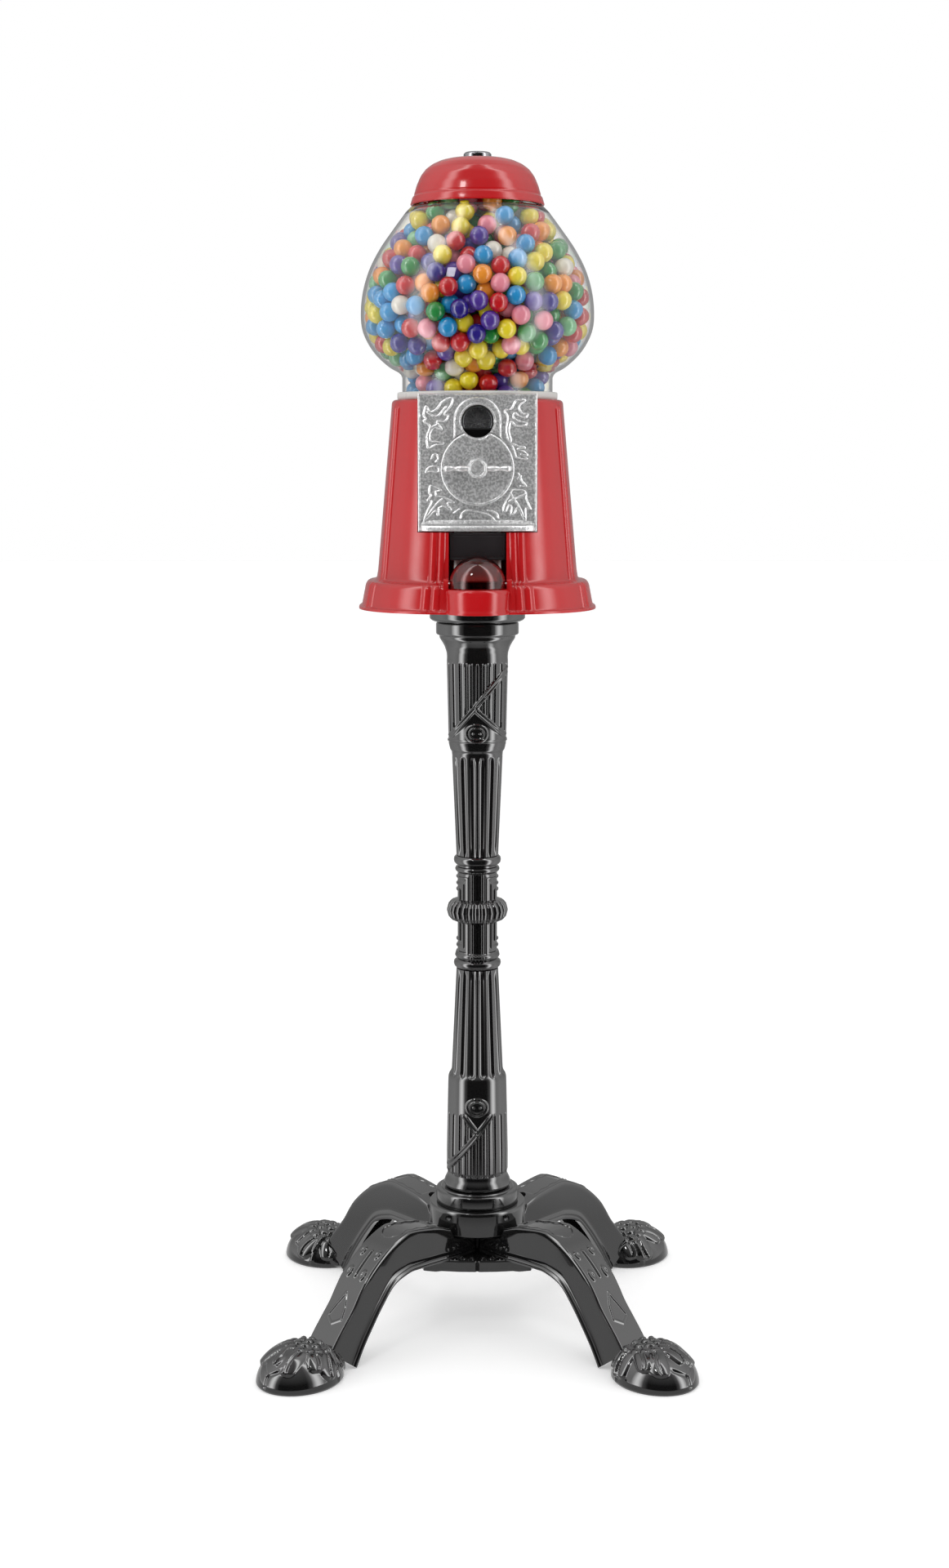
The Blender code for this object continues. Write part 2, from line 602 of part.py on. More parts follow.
def make_drive_gear():
    tip = 13.6
    root = 9.0
    half_tooth = 1.3
    points = []
    for i in range(TOOTH_COUNT):
        angle = math.pi / 2 + 2 * math.pi * i / TOOTH_COUNT
        along = Vector((math.cos(angle), math.sin(angle)))
        across = Vector((-along.y, along.x))
        for radius, side in ((root, -1.6), (tip, -half_tooth), (tip, half_tooth), (root, 1.6)):
            points.append(tuple(along * radius + across * side))
    flat_disc("drive_gear", [points, circle(SHAFT_R + GAP, 16)], PINION_Y, BRASS)


def make_gum_wheel():
    """The wheel's pockets open outwards; the gear ring around it closes them."""
    mouth_angle = math.asin(POCKET_R / WHEEL_R)
    mouth_u = WHEEL_R * math.cos(mouth_angle)
    pocket = [(mouth_u, -POCKET_R)]
    pocket += [(POCKET_U - POCKET_R * math.sin(a), -POCKET_R * math.cos(a))
               for a in [math.pi * i / 10 for i in range(11)]]
    pocket += [(mouth_u, POCKET_R)]
    step = 2 * math.pi / POCKET_COUNT
    rim = [(WHEEL_R * math.cos(a), WHEEL_R * math.sin(a))
           for a in [mouth_angle + (step - 2 * mouth_angle) * i / 4 for i in (1, 2, 3)]]
    loop = []
    for i in range(POCKET_COUNT):
        turn = Matrix.Rotation(-math.pi / 2 + i * step, 2)
        loop += [tuple(turn @ Vector(point)) for point in pocket + rim]
    wheel = outline("gum_wheel", [loop, circle(CENTRE_ROD_R + GAP, 16)],
                    WHEEL_Z[1] - WHEEL_Z[0], WHITE)
    wheel.location.z = sum(WHEEL_Z) / 2 * MM
    ring = turned("wheel_gear", [
        (RING_R[1], 719.0), (RING_R[1], WHEEL_Z[0]), (RING_R[0], WHEEL_Z[0]), (RING_R[0], 719.0)],
        WHITE, 32, closed=True)
    bm = bmesh.new()
    for i in range(PEG_COUNT):
        angle = -math.pi / 2 + 2 * math.pi * (i + 0.5) / PEG_COUNT
        centre = (PEG_R[0] + PEG_R[1]) / 2
        size = Vector((PEG_R[1] - PEG_R[0], 2.5, 717.0 - PEG_Z)) * MM
        middle = Vector((centre, 0, (717.0 + PEG_Z) / 2)) * MM
        place = Matrix.Rotation(angle, 4, "Z") @ Matrix.Translation(middle)
        bmesh.ops.create_cube(bm, size=1.0, matrix=place @ Matrix.Diagonal((*size, 1.0)))
    pegs = link("add_pegs", mesh_from(bm, "pegs"), None, cutter=True)
    boolean(ring, pegs, "UNION")


# ---- Chute ----------------------------------------------------------------------------------

def make_chute():
    run = Vector((SLIDE_END[0] - SLIDE_TOP[0], SLIDE_END[1] - SLIDE_TOP[1]))
    pitch = math.atan2(-run.y, -run.x)
    middle_y = (SLIDE_END[0] + SLIDE_TOP[0]) / 2
    middle_z = (SLIDE_END[1] + SLIDE_TOP[1]) / 2
    half = run.length / 2
    slide = box("chute_slide", (-18, -half, -2), (18, half, 12), WHITE)
    trough = box("cut_trough", (-16, -half - 5, 0), (16, half + 5, 30), cutter=True)
    for piece, lift in ((slide, 5.0), (trough, 15.0)):
        piece.rotation_euler = (pitch, 0, 0)
        piece.location = (0, (middle_y - lift * math.sin(pitch)) * MM,
                          (middle_z + lift * math.cos(pitch)) * MM)
    boolean(slide, trough)
    box("chute_shield", (-21.4, -70.5, 628.2), (21.4, -68.7, 649.2), SMOKE)


def make_flap():
    """A quarter of a hollow ball that turns about its own centre, along X."""
    outside = [(FLAP_R * math.sin(a), FLAP_R * math.cos(a))
               for a in [math.pi * i / 12 for i in range(13)]]
    flap = turned("chute_flap", [(0, outside[0][1]), *outside[1:-1], (0, outside[-1][1])],
                  CLEAR, 20)
    flap.rotation_euler = (0, math.pi / 2, 0)
    flap.location = (0, CUP_Y * MM, FLAP_Z * MM)
    bm = bmesh.new()
    bmesh.ops.create_uvsphere(bm, u_segments=20, v_segments=12, radius=(FLAP_R - 1.3) * MM)
    hollow = link("cut_flap_hollow", mesh_from(bm, "flap_hollow"), None, cutter=True)
    hollow.location = flap.location
    hollow.rotation_euler = (0, math.pi / 2, 0)
    boolean(flap, hollow)
    boolean(flap, box("cut_flap_under", (-40, -140, 560), (40, -40, FLAP_Z - 3.0), cutter=True))
    boolean(flap, box("cut_flap_back", (-40, CUP_Y + 4.0, 560), (40, -40, 660), cutter=True))
    boolean(flap, rod("cut_flap_pin", 1.5, -40, 40, "X", (CUP_Y, FLAP_Z), cutter=True,
                      segments=12))
    for name, side in (("flap_pin_left", -1), ("flap_pin_right", 1)):
        start, end = sorted((side * 18.4, side * 25.8))
        rod(name, 1.15, start, end, "X", (CUP_Y, FLAP_Z), STEEL, segments=12)


make_column()
make_star_plate()
make_legs()
make_body_shell()
make_base_plate()
make_centre_rod()
make_wheel_deck()
make_hopper()
make_globe()
make_lid()
make_front_plate()
make_back_plate()
make_knob()
make_coin_parts()
make_ratchet()
make_drive_gear()
make_gum_wheel()
make_chute()
make_flap()
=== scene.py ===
"""A coin-operated gumball machine on a cast pedestal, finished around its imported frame."""

import math

import bmesh
import bpy
import numpy as np
from mathutils import Matrix, Vector


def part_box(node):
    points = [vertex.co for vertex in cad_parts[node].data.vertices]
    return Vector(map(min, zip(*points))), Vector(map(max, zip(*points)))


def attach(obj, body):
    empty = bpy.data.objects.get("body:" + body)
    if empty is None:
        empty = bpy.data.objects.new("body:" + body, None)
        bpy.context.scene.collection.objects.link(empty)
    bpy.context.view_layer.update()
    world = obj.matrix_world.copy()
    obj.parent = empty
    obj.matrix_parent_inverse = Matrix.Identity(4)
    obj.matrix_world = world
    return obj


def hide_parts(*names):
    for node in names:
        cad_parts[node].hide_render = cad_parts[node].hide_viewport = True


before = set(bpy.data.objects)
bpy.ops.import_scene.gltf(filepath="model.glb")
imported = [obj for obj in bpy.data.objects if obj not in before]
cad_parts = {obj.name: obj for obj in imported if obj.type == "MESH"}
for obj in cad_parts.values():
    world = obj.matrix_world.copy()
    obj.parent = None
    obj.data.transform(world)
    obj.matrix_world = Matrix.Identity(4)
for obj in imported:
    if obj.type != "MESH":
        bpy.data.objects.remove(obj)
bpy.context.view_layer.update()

# ---- Camera ------------------------------------------------------------------------------------
# A viewer standing in front of the machine, with the eye level with the turn knob and looking
# slightly down, so the whole stand and its feet are in view.

camera_data = bpy.data.cameras.new("camera")
camera_data.lens = 51.8
camera_data.sensor_width = 36.0
camera = bpy.data.objects.new("camera", camera_data)
camera.location = (-0.0023, -1.8, 0.705)
camera.rotation_euler = (math.radians(90 - 8.2), 0, 0)
bpy.context.scene.collection.objects.link(camera)
bpy.context.scene.camera = camera
bpy.context.scene.view_settings.view_transform = "Standard"

# ---- Studio ------------------------------------------------------------------------------------
# A white sweep with a dark room behind the viewer. Panels at both sides, with a brighter strip in
# each, draw the long reflections; softboxes give the even light and the soft shadows.

SWEEP_WHITE = (0.86, 0.86, 0.86, 1.0)
FRONT_GLOOM = 0.01
PANEL_BRIGHT = 1.25
STRIP_BRIGHT = 4.6
NEAR_FLOOR = 0.6
OVERHEAD_BRIGHT = 0.55
SOFT_FILL = 0.80


def put(tree, kind, **settings):
    """Add a shader node. A setting named after a socket goes on that socket."""
    node = tree.nodes.new(kind)
    for name, value in settings.items():
        if hasattr(node, name):
            setattr(node, name, value)
        else:
            node.inputs[name.replace("_", " ")].default_value = value
    return node


def maths(tree, operation, first, second, clamp=False):
    """A Math node; each side is a socket or a number."""
    node = put(tree, "ShaderNodeMath", operation=operation, use_clamp=clamp)
    for socket, value in zip(node.inputs, (first, second)):
        if isinstance(value, bpy.types.NodeSocket):
            tree.links.new(value, socket)
        else:
            socket.default_value = value
    return node.outputs[0]


def span(tree, value, low, high, out_low, out_high):
    """Map a range of a value to another range, clamped; the out ends may be sockets."""
    node = put(tree, "ShaderNodeMapRange")
    tree.links.new(value, node.inputs["Value"])
    ends = {"From Min": low, "From Max": high, "To Min": out_low, "To Max": out_high}
    for label, end in ends.items():
        if isinstance(end, bpy.types.NodeSocket):
            tree.links.new(end, node.inputs[label])
        else:
            node.inputs[label].default_value = end
    return node.outputs["Result"]


def new_group(name, inputs, outputs):
    """A shader node group with named sockets, and the two nodes that stand for its ends."""
    group = bpy.data.node_groups.new(name, "ShaderNodeTree")
    kinds = {"colour": "NodeSocketColor", "value": "NodeSocketFloat",
             "vector": "NodeSocketVector"}
    for label, kind, value in inputs:
        socket = group.interface.new_socket(label, in_out="INPUT", socket_type=kinds[kind])
        socket.default_value = value
    for label, kind in outputs:
        group.interface.new_socket(label, in_out="OUTPUT", socket_type=kinds[kind])
    return group, put(group, "NodeGroupInput"), put(group, "NodeGroupOutput")


def blank_material(name):
    material = bpy.data.materials.new(name)
    material.use_nodes = True
    tree = material.node_tree
    return material, tree, tree.nodes["Principled BSDF"], tree.nodes["Material Output"]


def make_surround_group():
    """What gloss sees round the machine: dark ahead and behind, bright panels at both sides."""
    group, given, result = new_group("surround", [("Place", "vector", (0, 0, 0))],
                                     [("Brightness", "value")])
    split = put(group, "ShaderNodeSeparateXYZ")
    group.links.new(given.outputs["Place"], split.inputs[0])
    x, y = split.outputs["X"], split.outputs["Y"]
    across = maths(group, "SQRT", maths(group, "ADD", maths(group, "MULTIPLY", x, x),
                                        maths(group, "MULTIPLY", y, y)), 0.0)
    ahead = maths(group, "DIVIDE", y, across)
    rise = span(group, ahead, -0.80, -0.45, FRONT_GLOOM, PANEL_BRIGHT)
    fall = span(group, ahead, 0.10, 0.80, 1.0, 0.26)
    panel = maths(group, "MULTIPLY", rise, fall)
    strip = maths(group, "MULTIPLY", span(group, ahead, -0.66, -0.50, 0.0, STRIP_BRIGHT),
                  span(group, ahead, -0.42, -0.22, 1.0, 0.0))
    group.links.new(maths(group, "ADD", panel, strip), result.inputs["Brightness"])
    return group


SURROUND = make_surround_group()


def finished(name, bm):
    """A new mesh of what the bmesh holds."""
    mesh = bpy.data.meshes.new(name)
    bm.to_mesh(mesh)
    bm.free()
    return mesh


def make_floor():
    bm = bmesh.new()
    bmesh.ops.create_grid(bm, x_segments=8, y_segments=8, size=14.0)
    mesh = finished("sweep", bm)
    floor = bpy.data.objects.new("sweep", mesh)
    bpy.context.scene.collection.objects.link(floor)
    material, tree, shader, output = blank_material("sweep_paper")
    grain = put(tree, "ShaderNodeTexNoise", Scale=60.0, Detail=3.0)
    tint = put(tree, "ShaderNodeMix", data_type="RGBA")
    tint.inputs[6].default_value = SWEEP_WHITE
    tint.inputs[7].default_value = (0.88, 0.88, 0.88, 1.0)
    tree.links.new(grain.outputs["Fac"], tint.inputs[0])
    tree.links.new(tint.outputs[2], shader.inputs["Base Color"])
    shader.inputs["Roughness"].default_value = 0.7
    shader.inputs["Specular IOR Level"].default_value = 0.1
    shader.inputs["Emission Color"].default_value = (1, 1, 1, 1)
    shader.inputs["Emission Strength"].default_value = 0.30
    place = put(tree, "ShaderNodeTexCoord")
    around = put(tree, "ShaderNodeGroup", node_tree=SURROUND)
    tree.links.new(place.outputs["Object"], around.inputs["Place"])
    mirrored = put(tree, "ShaderNodeEmission")
    reach = put(tree, "ShaderNodeVectorMath", operation="LENGTH")
    tree.links.new(place.outputs["Object"], reach.inputs[0])
    far = span(tree, reach.outputs["Value"], 0.26, 0.48, 0.0, 1.0)
    near = maths(tree, "MULTIPLY", maths(tree, "SUBTRACT", 1.0, far), NEAR_FLOOR)
    beyond = maths(tree, "MULTIPLY", around.outputs["Brightness"], far)
    tree.links.new(maths(tree, "ADD", near, beyond), mirrored.inputs["Strength"])
    ray = put(tree, "ShaderNodeLightPath")
    either = put(tree, "ShaderNodeMixShader")
    bounced = maths(tree, "MINIMUM", ray.outputs["Glossy Depth"], 1.0)
    tree.links.new(bounced, either.inputs[0])
    tree.links.new(shader.outputs["BSDF"], either.inputs[1])
    tree.links.new(mirrored.outputs["Emission"], either.inputs[2])
    tree.links.new(either.outputs["Shader"], output.inputs["Surface"])
    mesh.materials.append(material)


def make_world():
    world = bpy.data.worlds.new("studio")
    bpy.context.scene.world = world
    world.use_nodes = True
    tree = world.node_tree
    sky = tree.nodes["Background"]
    sky.inputs["Color"].default_value = (1, 1, 1, 1)
    ray = put(tree, "ShaderNodeLightPath")
    place = put(tree, "ShaderNodeTexCoord")
    around = put(tree, "ShaderNodeGroup", node_tree=SURROUND)
    tree.links.new(place.outputs["Generated"], around.inputs["Place"])
    split = put(tree, "ShaderNodeSeparateXYZ")
    tree.links.new(place.outputs["Generated"], split.inputs[0])
    above = span(tree, split.outputs["Z"], 0.25, 0.95, 0.0, OVERHEAD_BRIGHT)
    mirrored = maths(tree, "ADD", around.outputs["Brightness"], above)
    matt = maths(tree, "MINIMUM", ray.outputs["Diffuse Depth"], 1.0)
    gloss = maths(tree, "MINIMUM", ray.outputs["Glossy Depth"], 1.0)
    backdrop = maths(tree, "SUBTRACT", 1.0, gloss)
    shown = maths(tree, "ADD", backdrop, maths(tree, "MULTIPLY", gloss, mirrored))
    shown = maths(tree, "MULTIPLY", maths(tree, "SUBTRACT", 1.0, matt), shown)
    soft = maths(tree, "MULTIPLY", matt, SOFT_FILL)
    tree.links.new(maths(tree, "ADD", shown, soft), sky.inputs["Strength"])


def softbox(name, place, target, size, brightness, gloss=True, matt=True):
    """A rectangular light of even brightness, aimed at a point."""
    data = bpy.data.lights.new(name, "AREA")
    data.shape = "RECTANGLE"
    data.size, data.size_y = size
    data.energy = brightness * math.pi * size[0] * size[1]
    light = bpy.data.objects.new(name, data)
    light.location = place
    light.rotation_euler = (Vector(target) - Vector(place)).to_track_quat("-Z", "Y").to_euler()
    light.visible_camera = False
    light.visible_transmission = False
    light.visible_glossy = gloss
    light.visible_diffuse = matt
    bpy.context.scene.collection.objects.link(light)


make_floor()
make_world()
for side in (-1, 1):
    name = "left" if side < 0 else "right"
    softbox(f"tall_softbox_{name}", (side * 1.35, -0.55, 0.40), (0, 0, 0.40), (1.15, 1.25), 0.7,
            gloss=False)
softbox("key", (-0.7, -1.6, 2.3), (0, 0, 0.5), (0.5, 0.5), 7.0, gloss=False)
softbox("spark", (-0.85, -1.5, 2.1), (0, 0, 0.7), (0.30, 0.30), 22.0, matt=False)
softbox("overhead", (0, 0.2, 2.6), (0, 0, 0.5), (1.6, 1.2), 1.2, gloss=False)

# ---- Stand: black stove enamel -----------------------------------------------------------------
# Every casting of the stand is sprayed with glossy black enamel over bare iron. The coat flows a
# little, so it has a faint orange peel, and it thins on sharp edges.

BLACK_ENAMEL = (0.0045, 0.0045, 0.0048, 1.0)
BLACK_THIN = (0.016, 0.0155, 0.015, 1.0)


def noise_value(tree, scale, detail=2.0):
    """Noise over the piece's own place; scale is a number or a socket, per metre."""
    place = put(tree, "ShaderNodeTexCoord")
    texture = put(tree, "ShaderNodeTexNoise", Detail=detail)
    tree.links.new(place.outputs["Object"], texture.inputs["Vector"])
    if isinstance(scale, bpy.types.NodeSocket):
        tree.links.new(scale, texture.inputs["Scale"])
    else:
        texture.inputs["Scale"].default_value = scale
    return texture.outputs["Fac"]


def mix_colours(tree, factor, first, second):
    node = put(tree, "ShaderNodeMix", data_type="RGBA")
    for socket, value in ((node.inputs[0], factor), (node.inputs[6], first),
                          (node.inputs[7], second)):
        if isinstance(value, bpy.types.NodeSocket):
            tree.links.new(value, socket)
        else:
            socket.default_value = value
    return node.outputs[2]


def make_coat_group():
    """A smooth skin: cloudy colour, thin or worn edges, uneven gloss and a fine ripple."""
    group, given, result = new_group("coat", [
        ("Colour", "colour", (0.5, 0.5, 0.5, 1)), ("Cloud", "colour", (0.4, 0.4, 0.4, 1)),
        ("Edge", "colour", (0.6, 0.6, 0.6, 1)), ("Edge Amount", "value", 0.3),
        ("Gloss Low", "value", 0.1), ("Gloss High", "value", 0.2),
        ("Ripple Scale", "value", 500.0)],
        [("Colour", "colour"), ("Roughness", "value"), ("Height", "value")])
    value = given.outputs
    cloud = span(group, noise_value(group, 22.0, 4.0), 0.35, 0.7, 0.0, 1.0)
    coloured = mix_colours(group, cloud, value["Colour"], value["Cloud"])
    shape = put(group, "ShaderNodeNewGeometry")
    edge = span(group, shape.outputs["Pointiness"], 0.51, 0.62, 0.0, value["Edge Amount"])
    patchy = maths(group, "MULTIPLY", edge, span(group, noise_value(group, 160.0), 0.3, 0.6, 0, 1))
    worn = mix_colours(group, patchy, coloured, value["Edge"])
    gloss = span(group, noise_value(group, 75.0, 5.0), 0.3, 0.7, value["Gloss Low"],
                 value["Gloss High"])
    group.links.new(worn, result.inputs["Colour"])
    group.links.new(gloss, result.inputs["Roughness"])
    group.links.new(noise_value(group, value["Ripple Scale"]), result.inputs["Height"])
    return group


COAT = make_coat_group()


def surfaced(name, group, group_values, bump, shader_values):
    """A material whose colour, roughness and bump, (strength, depth in metres), are a group's."""
    material, tree, shader, _ = blank_material(name)
    skin = put(tree, "ShaderNodeGroup", node_tree=group)
    for socket, value in zip(skin.inputs, group_values):
        socket.default_value = value
    relief = put(tree, "ShaderNodeBump", Strength=bump[0], Distance=bump[1])
    tree.links.new(skin.outputs["Height"], relief.inputs["Height"])
    tree.links.new(skin.outputs["Colour"], shader.inputs["Base Color"])
    tree.links.new(skin.outputs["Roughness"], shader.inputs["Roughness"])
    tree.links.new(relief.outputs["Normal"], shader.inputs["Normal"])
    for label, value in shader_values.items():
        shader.inputs[label.replace("_", " ")].default_value = value
    return material


def coated(name, colour, cloud, edge, edge_amount, gloss, ripple, bump, **shader_values):
    """A material with the coat group, in the order of its inputs."""
    values = (colour, cloud, edge, edge_amount, *gloss, ripple)
    return surfaced(name, COAT, values, bump, shader_values)


black_enamel = coated(
    "black_enamel", BLACK_ENAMEL, (0.006, 0.0058, 0.0056, 1), BLACK_THIN, 0.5, (0.05, 0.10), 420.0,
    (0.04, 0.00005), Coat_Weight=1.0, Coat_Roughness=0.02)


def put_in(name, mesh, material, body, slot, *replaced):
    """Make a piece of a finished mesh, ride it on a body and hide the frame parts it replaces; slot
    is not used.
    """
    piece = bpy.data.objects.new(name, mesh)
    bpy.context.scene.collection.objects.link(piece)
    mesh.materials.clear()
    mesh.materials.append(material)
    mesh.polygons.foreach_set("material_index", [0] * len(mesh.polygons))
    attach(piece, body)
    if replaced:
        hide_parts(*replaced)
    return piece


def put_casting(name, mesh, *replaced):
    """Put in a piece of the stand, sprayed black."""
    return put_in(name, mesh, black_enamel, "machine", "black_paint", *replaced)


def mesh_of(name, points, faces, sharp_degrees=40):
    """A smooth-shaded mesh from points in millimetres, with its faces turned outwards."""
    mesh = bpy.data.meshes.new(name)
    mesh.from_pydata((np.asarray(points, float) / 1000).tolist(), [], faces)
    bm = bmesh.new()
    bm.from_mesh(mesh)
    bmesh.ops.remove_doubles(bm, verts=bm.verts, dist=0.000001)
    bmesh.ops.recalc_face_normals(bm, faces=bm.faces)
    bm.to_mesh(mesh)
    bm.free()
    mesh.shade_smooth()
    mesh.set_sharp_from_angle(angle=math.radians(sharp_degrees))
    return mesh


def join_meshes(name, meshes):
    """One mesh of several closed ones."""
    bm = bmesh.new()
    for mesh in meshes:
        bm.from_mesh(mesh)
    return finished(name, bm)


def ring_faces(rings, around):
    """Quads of a closed tube: rings of points, the last joined to the first."""
    ring, spot = np.meshgrid(np.arange(rings), np.arange(around), indexing="ij")
    right = (spot + 1) % around
    below = (ring + 1) % rings
    quads = np.stack([ring * around + spot, ring * around + right,
                      below * around + right, below * around + spot], axis=-1)
    return quads.reshape(-1, 4).tolist()


def capped_faces(rings, around):
    """Quads of a tube of rings of points, and a face over each end."""
    faces = ring_faces(rings, around)[:(rings - 1) * around]
    return [*faces, list(range(around)), [(rings - 1) * around + i for i in range(around)]]


def cut_fine(profile, step):
    """The same line of (radius, z) points, with a point at least every step millimetres."""
    fine = []
    for (r1, z1), (r2, z2) in zip(profile, profile[1:]):
        count = max(1, math.ceil(math.hypot(r2 - r1, z2 - z1) / step))
        fine += [(r1 + (r2 - r1) * i / count, z1 + (z2 - z1) * i / count) for i in range(count)]
    return [*fine, profile[-1]]


def rounded(profile, radius, steps=4):
    """Round each inner corner of a line of (radius, z) points with a small arc."""
    smooth = [profile[0]]
    for before, corner, after in zip(profile, profile[1:], profile[2:]):
        here = Vector(corner)
        back = Vector(before) - here
        ahead = Vector(after) - here
        reach = min(radius, back.length * 0.45, ahead.length * 0.45)
        start = here + back.normalized() * reach
        end = here + ahead.normalized() * reach
        for i in range(steps + 1):
            t = i / steps
            bend = start * (1 - t) ** 2 + here * 2 * t * (1 - t) + end * t ** 2
            smooth.append((bend.x, bend.y))
    return [*smooth, profile[-1]]


def turned(name, outer, inner, around=96, relief=None, sharp_degrees=40):
    """A ring-shaped casting: outer side top to bottom, inner side bottom to top.

    relief(angle, z) gives how far the outer side stands out, in millimetres."""
    profile = np.array([*outer, *inner], float)
    turns = np.arange(around) * 2 * math.pi / around
    radius = np.repeat(profile[:, :1], around, axis=1)
    height = np.repeat(profile[:, 1:], around, axis=1)
    if relief:
        count = len(outer)
        raised = relief(np.broadcast_to(turns, (count, around)), height[:count])
        radius[:count] = radius[:count] + raised
    points = np.stack([radius * np.cos(turns), radius * np.sin(turns), height], axis=-1)
    return mesh_of(name, points.reshape(-1, 3), ring_faces(len(profile), around), sharp_degrees)


def hump(distance, half_width):
    """A rounded ridge: 1 on its line, 0 from half_width on."""
    return np.clip(1 - (distance / half_width) ** 2, 0, 1)


def bar(distance, half_width, slope=0.5):
    """A flat-topped ridge with sloping sides."""
    return np.clip((half_width - np.abs(distance)) / slope + 0.5, 0, 1)


FRONT = -math.pi / 2


def from_front(angle):
    """Angle from the casting's front line, folded so the back half repeats the front."""
    return (angle - FRONT + math.pi / 2) % math.pi - math.pi / 2

# ---- Legs and paws -----------------------------------------------------------------------------
# Four iron castings, open beneath, each with its paw foot cast on. The top face carries a sunk
# panel, a bar between four buttons and a shield; a bead runs along the lower edge of each side.

LEG_TOP = [
    (44.5, 87), (60, 92), (85, 96), (96, 95), (112, 88), (125, 79), (137, 68), (144, 59),
    (151, 48.5), (159, 39), (167, 29.5), (175, 19)]
LEG_UNDER = [
    (44.5, 61), (56, 62), (80, 63), (92, 62.5), (108, 56.5), (121, 42.5), (132.5, 27),
    (141, 14.5), (149, 0.2)]
TONGUE = [((18, 77.6), (18, 61)), ((30, 77.6), (30, 61)), ((40.5, 77.6), (40.5, 61))]
CHANNEL_HALF = 10.5
CHANNEL_SKIN = 5.0
PAW_U = 194.0
PAW_SIZE = np.array([36.3, 31.3, 28.4])
LEG_ANGLES = {"leg_front_left": 225, "leg_front_right": 315, "leg_rear_right": 45,
              "leg_rear_left": 135}


def smooth_line(points, count, closed=False):
    """Count points, evenly spaced, on a smooth curve through the given ones."""
    ends = np.array(points, float)
    if closed:
        ends = np.concatenate([ends[-1:], ends, ends[:2]])
    else:
        ends = np.concatenate([2 * ends[:1] - ends[1:2], ends, 2 * ends[-1:] - ends[-2:-1]])
    t = np.linspace(0, 1, 16, endpoint=False)[:, None]
    runs = []
    for p0, p1, p2, p3 in zip(ends, ends[1:], ends[2:], ends[3:]):
        runs.append(0.5 * (2 * p1 + (p2 - p0) * t + (2 * p0 - 5 * p1 + 4 * p2 - p3) * t ** 2
                           + (3 * p1 - p0 - 3 * p2 + p3) * t ** 3))
    fine = np.concatenate([*runs, ends[-2:-1]])
    along = np.concatenate([[0], np.cumsum(np.linalg.norm(np.diff(fine, axis=0), axis=1))])
    wanted = np.linspace(0, along[-1], count)
    return np.stack([np.interp(wanted, along, fine[:, k]) for k in range(fine.shape[1])], axis=-1)


def outline_distance(x, y, line):
    """Distance from each point (x, y) to a line of points."""
    best = np.full(x.shape, 1e9)
    for (ax, ay), (bx, by) in zip(line, line[1:]):
        run = np.array([bx - ax, by - ay])
        length = max(run @ run, 1e-9)
        t = np.clip(((x - ax) * run[0] + (y - ay) * run[1]) / length, 0, 1)
        best = np.minimum(best, np.hypot(x - ax - t * run[0], y - ay - t * run[1]))
    return best


def leg_relief(u, v):
    """How far the top face stands out at u along the leg and v across it."""
    panel_end = 104.0
    wave = 9.6 + 0.7 * np.sin((u - 58) * 2 * math.pi / 11.5)
    round_end = np.sqrt(np.clip(1 - (np.clip(u - panel_end + 9, 0, 9) / 9) ** 2, 0, 1))
    edge = wave * round_end - np.abs(v)
    along = bar(u - 81.0, 23.5, 1.0)
    raised = along * (-0.7 * np.clip(edge / 1.4 + 0.5, 0, 1) + 0.75 * hump(edge, 1.0))
    rod = np.hypot(np.clip(np.abs(u - 127.5) - 8.5, 0, None), v)
    raised = raised + 1.3 * hump(rod, 2.2)
    for button_u, button_v in ((120.0, 8.2), (135.0, 7.6)):
        reach = np.hypot((u - button_u) / 1.25, np.abs(v) - button_v)
        raised = raised + 1.1 * hump(reach - 1.9, 1.3) + 0.5 * hump(reach, 1.2)
    shield = [(145.5, 0), (151, 4.6), (158, 7.8), (161.5, 0), (158, -7.8), (151, -4.6), (145.5, 0)]
    return raised + 0.75 * hump(outline_distance(u, v, shield), 0.95)


def leg_section(top, under, normal, open_depth):
    """One closed slice of the leg: under lip, side, rounded edge, top face, and the channel."""
    rise = top - under
    height = np.linalg.norm(rise)
    up = rise / height
    side = [(0.0, 14.2), (0.0, 15.4), (0.8, 15.9), (2.0, 15.9), (2.8, 15.2), (3.4, 14.7),
            (4.0, 15.2), (5.0, 15.2), (5.6, 14.6), (8.0, 14.4)]
    side += [(8.0 + (height - 10.2) * i / 8, 14.4 + 0.4 * i / 8) for i in range(1, 9)]
    side += [(height - 1.3, 14.7), (height - 0.6, 14.3), (height - 0.15, 13.7)]
    left = [(*(under + up * h), -v) for h, v in side]
    right = [(*(under + up * h), v) for h, v in reversed(side)]
    across = np.linspace(-13.1, 13.1, 53)
    raised = leg_relief(np.full_like(across, top[0]), across)
    face = [(*(top + normal * h), v) for h, v in zip(raised, across)]
    roof = (height - CHANNEL_SKIN) * open_depth
    corner = CHANNEL_HALF - 0.6 - 0.6 * open_depth
    channel = [(*(under + up * h), v) for h, v in (
        (0, CHANNEL_HALF), (roof * 0.5, CHANNEL_HALF - 0.3), (roof * 0.92, corner),
        (roof, corner - 1.5), (roof, 0), (roof, 1.5 - corner), (roof * 0.92, -corner),
        (roof * 0.5, 0.3 - CHANNEL_HALF), (0, -CHANNEL_HALF))]
    return left + face + right + channel


